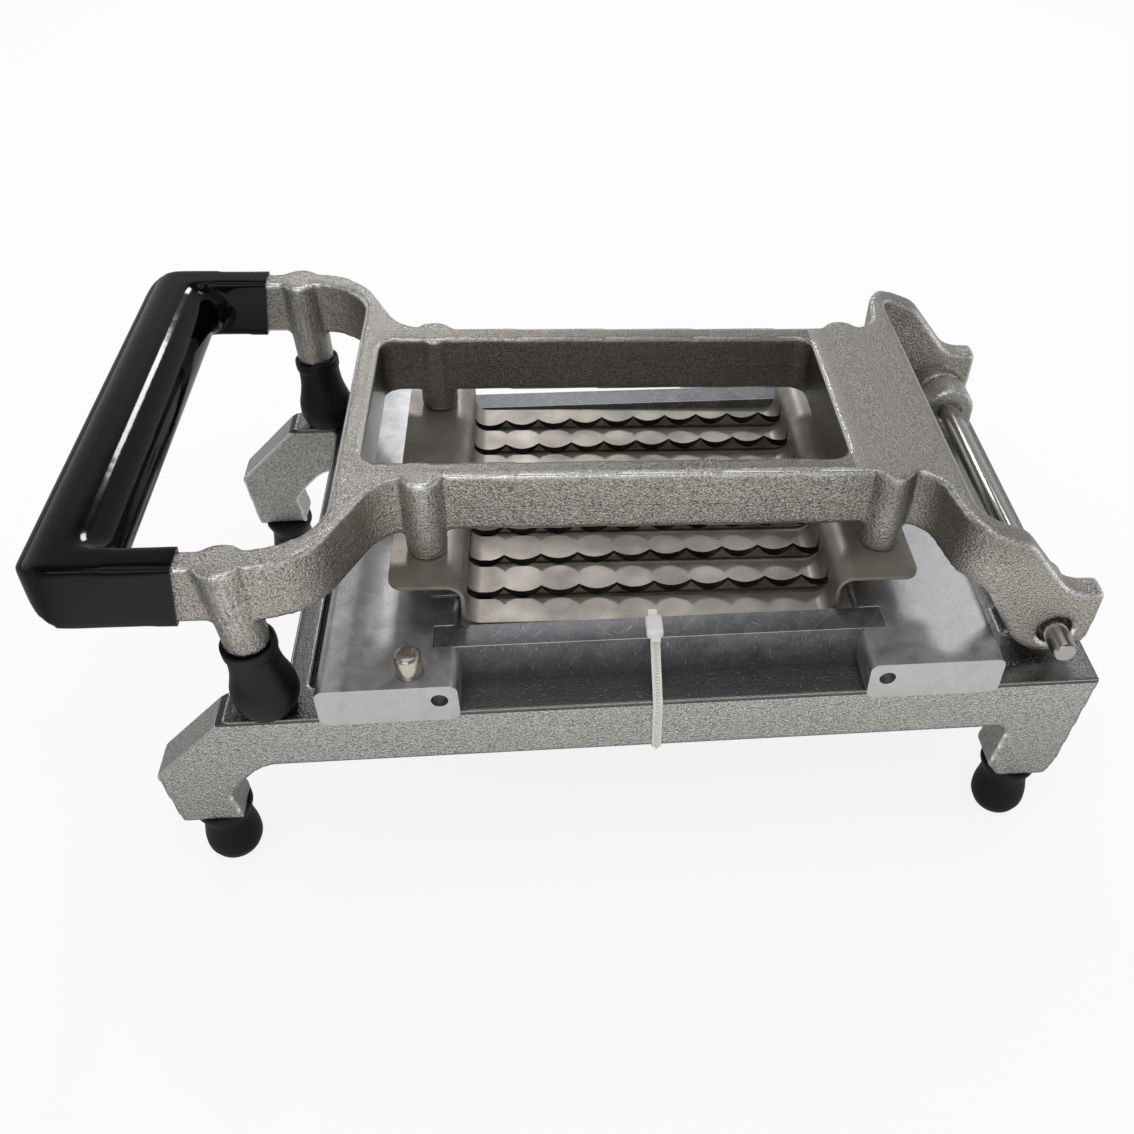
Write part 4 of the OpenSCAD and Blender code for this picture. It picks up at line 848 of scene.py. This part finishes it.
def studio_floor():
    """White to the camera, with the shadow still laid over it. What the metal reflects of it carries a
    painted shadow: white in front of the object, grey under and behind it and darkest to the left."""
    made = bpy.data.materials.new("white_sweep")
    made.use_nodes = True
    tree = made.node_tree
    tree.nodes.clear()
    path = add(tree, "ShaderNodeLightPath").outputs
    place = add(tree, "ShaderNodeTexCoord").outputs["Object"]
    spot = add(tree, "ShaderNodeSeparateXYZ", {"Vector": place}).outputs
    seen = add(tree, "ShaderNodeMath", {0: path["Is Camera Ray"], 1: path["Is Glossy Ray"]},
               operation="MAXIMUM")
    seen = add(tree, "ShaderNodeMath", {0: seen, 1: path["Is Transmission Ray"]}, operation="MAXIMUM")
    share = add(tree, "ShaderNodeMath", {0: seen, 1: 0.84}, operation="MULTIPLY")
    # Painted shadow under, behind and to the left of the object, seen only in reflections.
    depth = add(tree, "ShaderNodeMapRange", {"Value": spot["Y"], "From Min": -0.4, "From Max": 0.1})
    back = add(tree, "ShaderNodeValToRGB", {"Fac": depth}, stops=[
        (0.1, "#ffffff"), (0.4, "#f2f2f2"), (0.57, "#8c8c8c"), (0.66, "#7e7e7e"), (1.0, "#b4b4b4")])
    left_shade = add(tree, "ShaderNodeMapRange", {"Value": spot["X"], "From Min": -0.38, "From Max": -0.24,
                                             "To Min": 0.15})
    reflected_floor_shade = add(tree, "ShaderNodeMath", {0: back, 1: left_shade}, operation="MULTIPLY")
    level = add(tree, "ShaderNodeMath", {0: reflected_floor_shade, 1: path["Is Camera Ray"]}, operation="MAXIMUM")
    matt = add(tree, "ShaderNodeBsdfDiffuse", {"Color": "#fdfdfd"})
    glow = add(tree, "ShaderNodeEmission", {"Color": "#ffffff", "Strength": level})
    both = add(tree, "ShaderNodeMixShader", {0: share, 1: matt, 2: glow})
    add(tree, "ShaderNodeOutputMaterial", {"Surface": both})
    return made


floor_mesh = bpy.data.meshes.new("floor")
floor_mesh.from_pydata([(-20, -20, 0), (20, -20, 0), (20, 20, 0), (-20, 20, 0)], [], [(0, 1, 2, 3)])
floor = show("floor", floor_mesh, studio_floor())

world = bpy.data.worlds.new("studio")
bpy.context.scene.world = world
world.use_nodes = True
air = world.node_tree
air.nodes.clear()
seen_by = add(air, "ShaderNodeLightPath").outputs
around = add(air, "ShaderNodeTexCoord").outputs["Generated"]
look = add(air, "ShaderNodeSeparateXYZ", {"Vector": around}).outputs
ceiling = add(air, "ShaderNodeValToRGB", {"Fac": look["Z"]}, stops=[
    (0.0, "#e6e6e8"), (0.22, "#c0c0c2"), (0.45, "#b4b4b6"), (0.61, "#adadb0"), (0.7, "#56575a"),
    (1.0, "#6c6d70")])
facing = add(air, "ShaderNodeMapRange", {"Value": look["Y"], "From Min": -0.5, "From Max": 0.1,
                                         "To Min": 0.62}, interpolation_type="SMOOTHSTEP")
open_air = add(air, "ShaderNodeBackground", {"Color": ceiling, "Strength": facing})
white = add(air, "ShaderNodeBackground", {"Color": "#ffffff", "Strength": 1.0})
dim = add(air, "ShaderNodeBackground", {"Color": "#ffffff", "Strength": 0.6})
for_metal = add(air, "ShaderNodeMixShader", {0: seen_by["Is Glossy Ray"], 1: dim, 2: open_air})
for_camera = add(air, "ShaderNodeMath", {0: seen_by["Is Camera Ray"], 1: seen_by["Is Transmission Ray"]},
                 operation="MAXIMUM")
surround = add(air, "ShaderNodeMixShader", {0: for_camera, 1: for_metal, 2: white})
add(air, "ShaderNodeOutputWorld", {"Surface": surround})


def softbox(name, place, width, height, watts, aim=(0, 0, 0.09)):
    """A soft lamp that faces the object."""
    lamp = bpy.data.lights.new(name, "AREA")
    lamp.shape, lamp.size, lamp.size_y, lamp.energy = "RECTANGLE", width, height, watts
    stand = bpy.data.objects.new(name, lamp)
    bpy.context.scene.collection.objects.link(stand)
    turn = (Vector(place) - Vector(aim)).to_track_quat("Z", "Y").to_matrix().to_4x4()
    stand.matrix_world = Matrix.Translation(place) @ turn


softbox("back_softbox", (-0.04, 1.33, 1.2), width=0.22, height=0.24, watts=3.9, aim=(0, 0, 0.155))
softbox("right_softbox", (0.72, 1.0, 1.27), width=0.4, height=0.16, watts=0.9, aim=(0.15, -0.09, 0.106))
softbox("top_softbox", (0.0, -0.2, 1.8), width=1.5, height=1.5, watts=5.5)
softbox("front_softbox", (-0.4, -1.5, 1.0), width=1.2, height=0.9, watts=3.4)


# The camera: where the photograph was taken from, with film 36 mm wide and a lens to suit it.

camera_data = bpy.data.cameras.new("camera")
camera = bpy.data.objects.new("camera", camera_data)
bpy.context.scene.collection.objects.link(camera)
bpy.context.scene.camera = camera
yaw, pitch, roll = math.radians(5.509), math.radians(41.994), math.radians(1.306)
ahead = Vector((math.sin(yaw) * math.cos(pitch), math.cos(yaw) * math.cos(pitch), -math.sin(pitch)))
level_right = Vector((math.cos(yaw), -math.sin(yaw), 0))
level_up = level_right.cross(ahead)
right = math.cos(roll) * level_right + math.sin(roll) * level_up
up = -math.sin(roll) * level_right + math.cos(roll) * level_up
turn = Matrix((right, up, -ahead)).transposed().to_4x4()
camera.matrix_world = Matrix.Translation((-12.44 * mm, -388.94 * mm, 421.60 * mm)) @ turn
photo_pixels, focal_pixels, middle_x, middle_y = 1134, 1146.37, 645.08, 559.39
film_width = 36
camera_data.sensor_width = film_width
camera_data.lens = focal_pixels / photo_pixels * film_width
camera_data.shift_x = (photo_pixels / 2 - middle_x) / photo_pixels
camera_data.shift_y = (middle_y - photo_pixels / 2) / photo_pixels
camera_data.clip_start = 0.01

bpy.context.scene.view_settings.view_transform = "Standard"
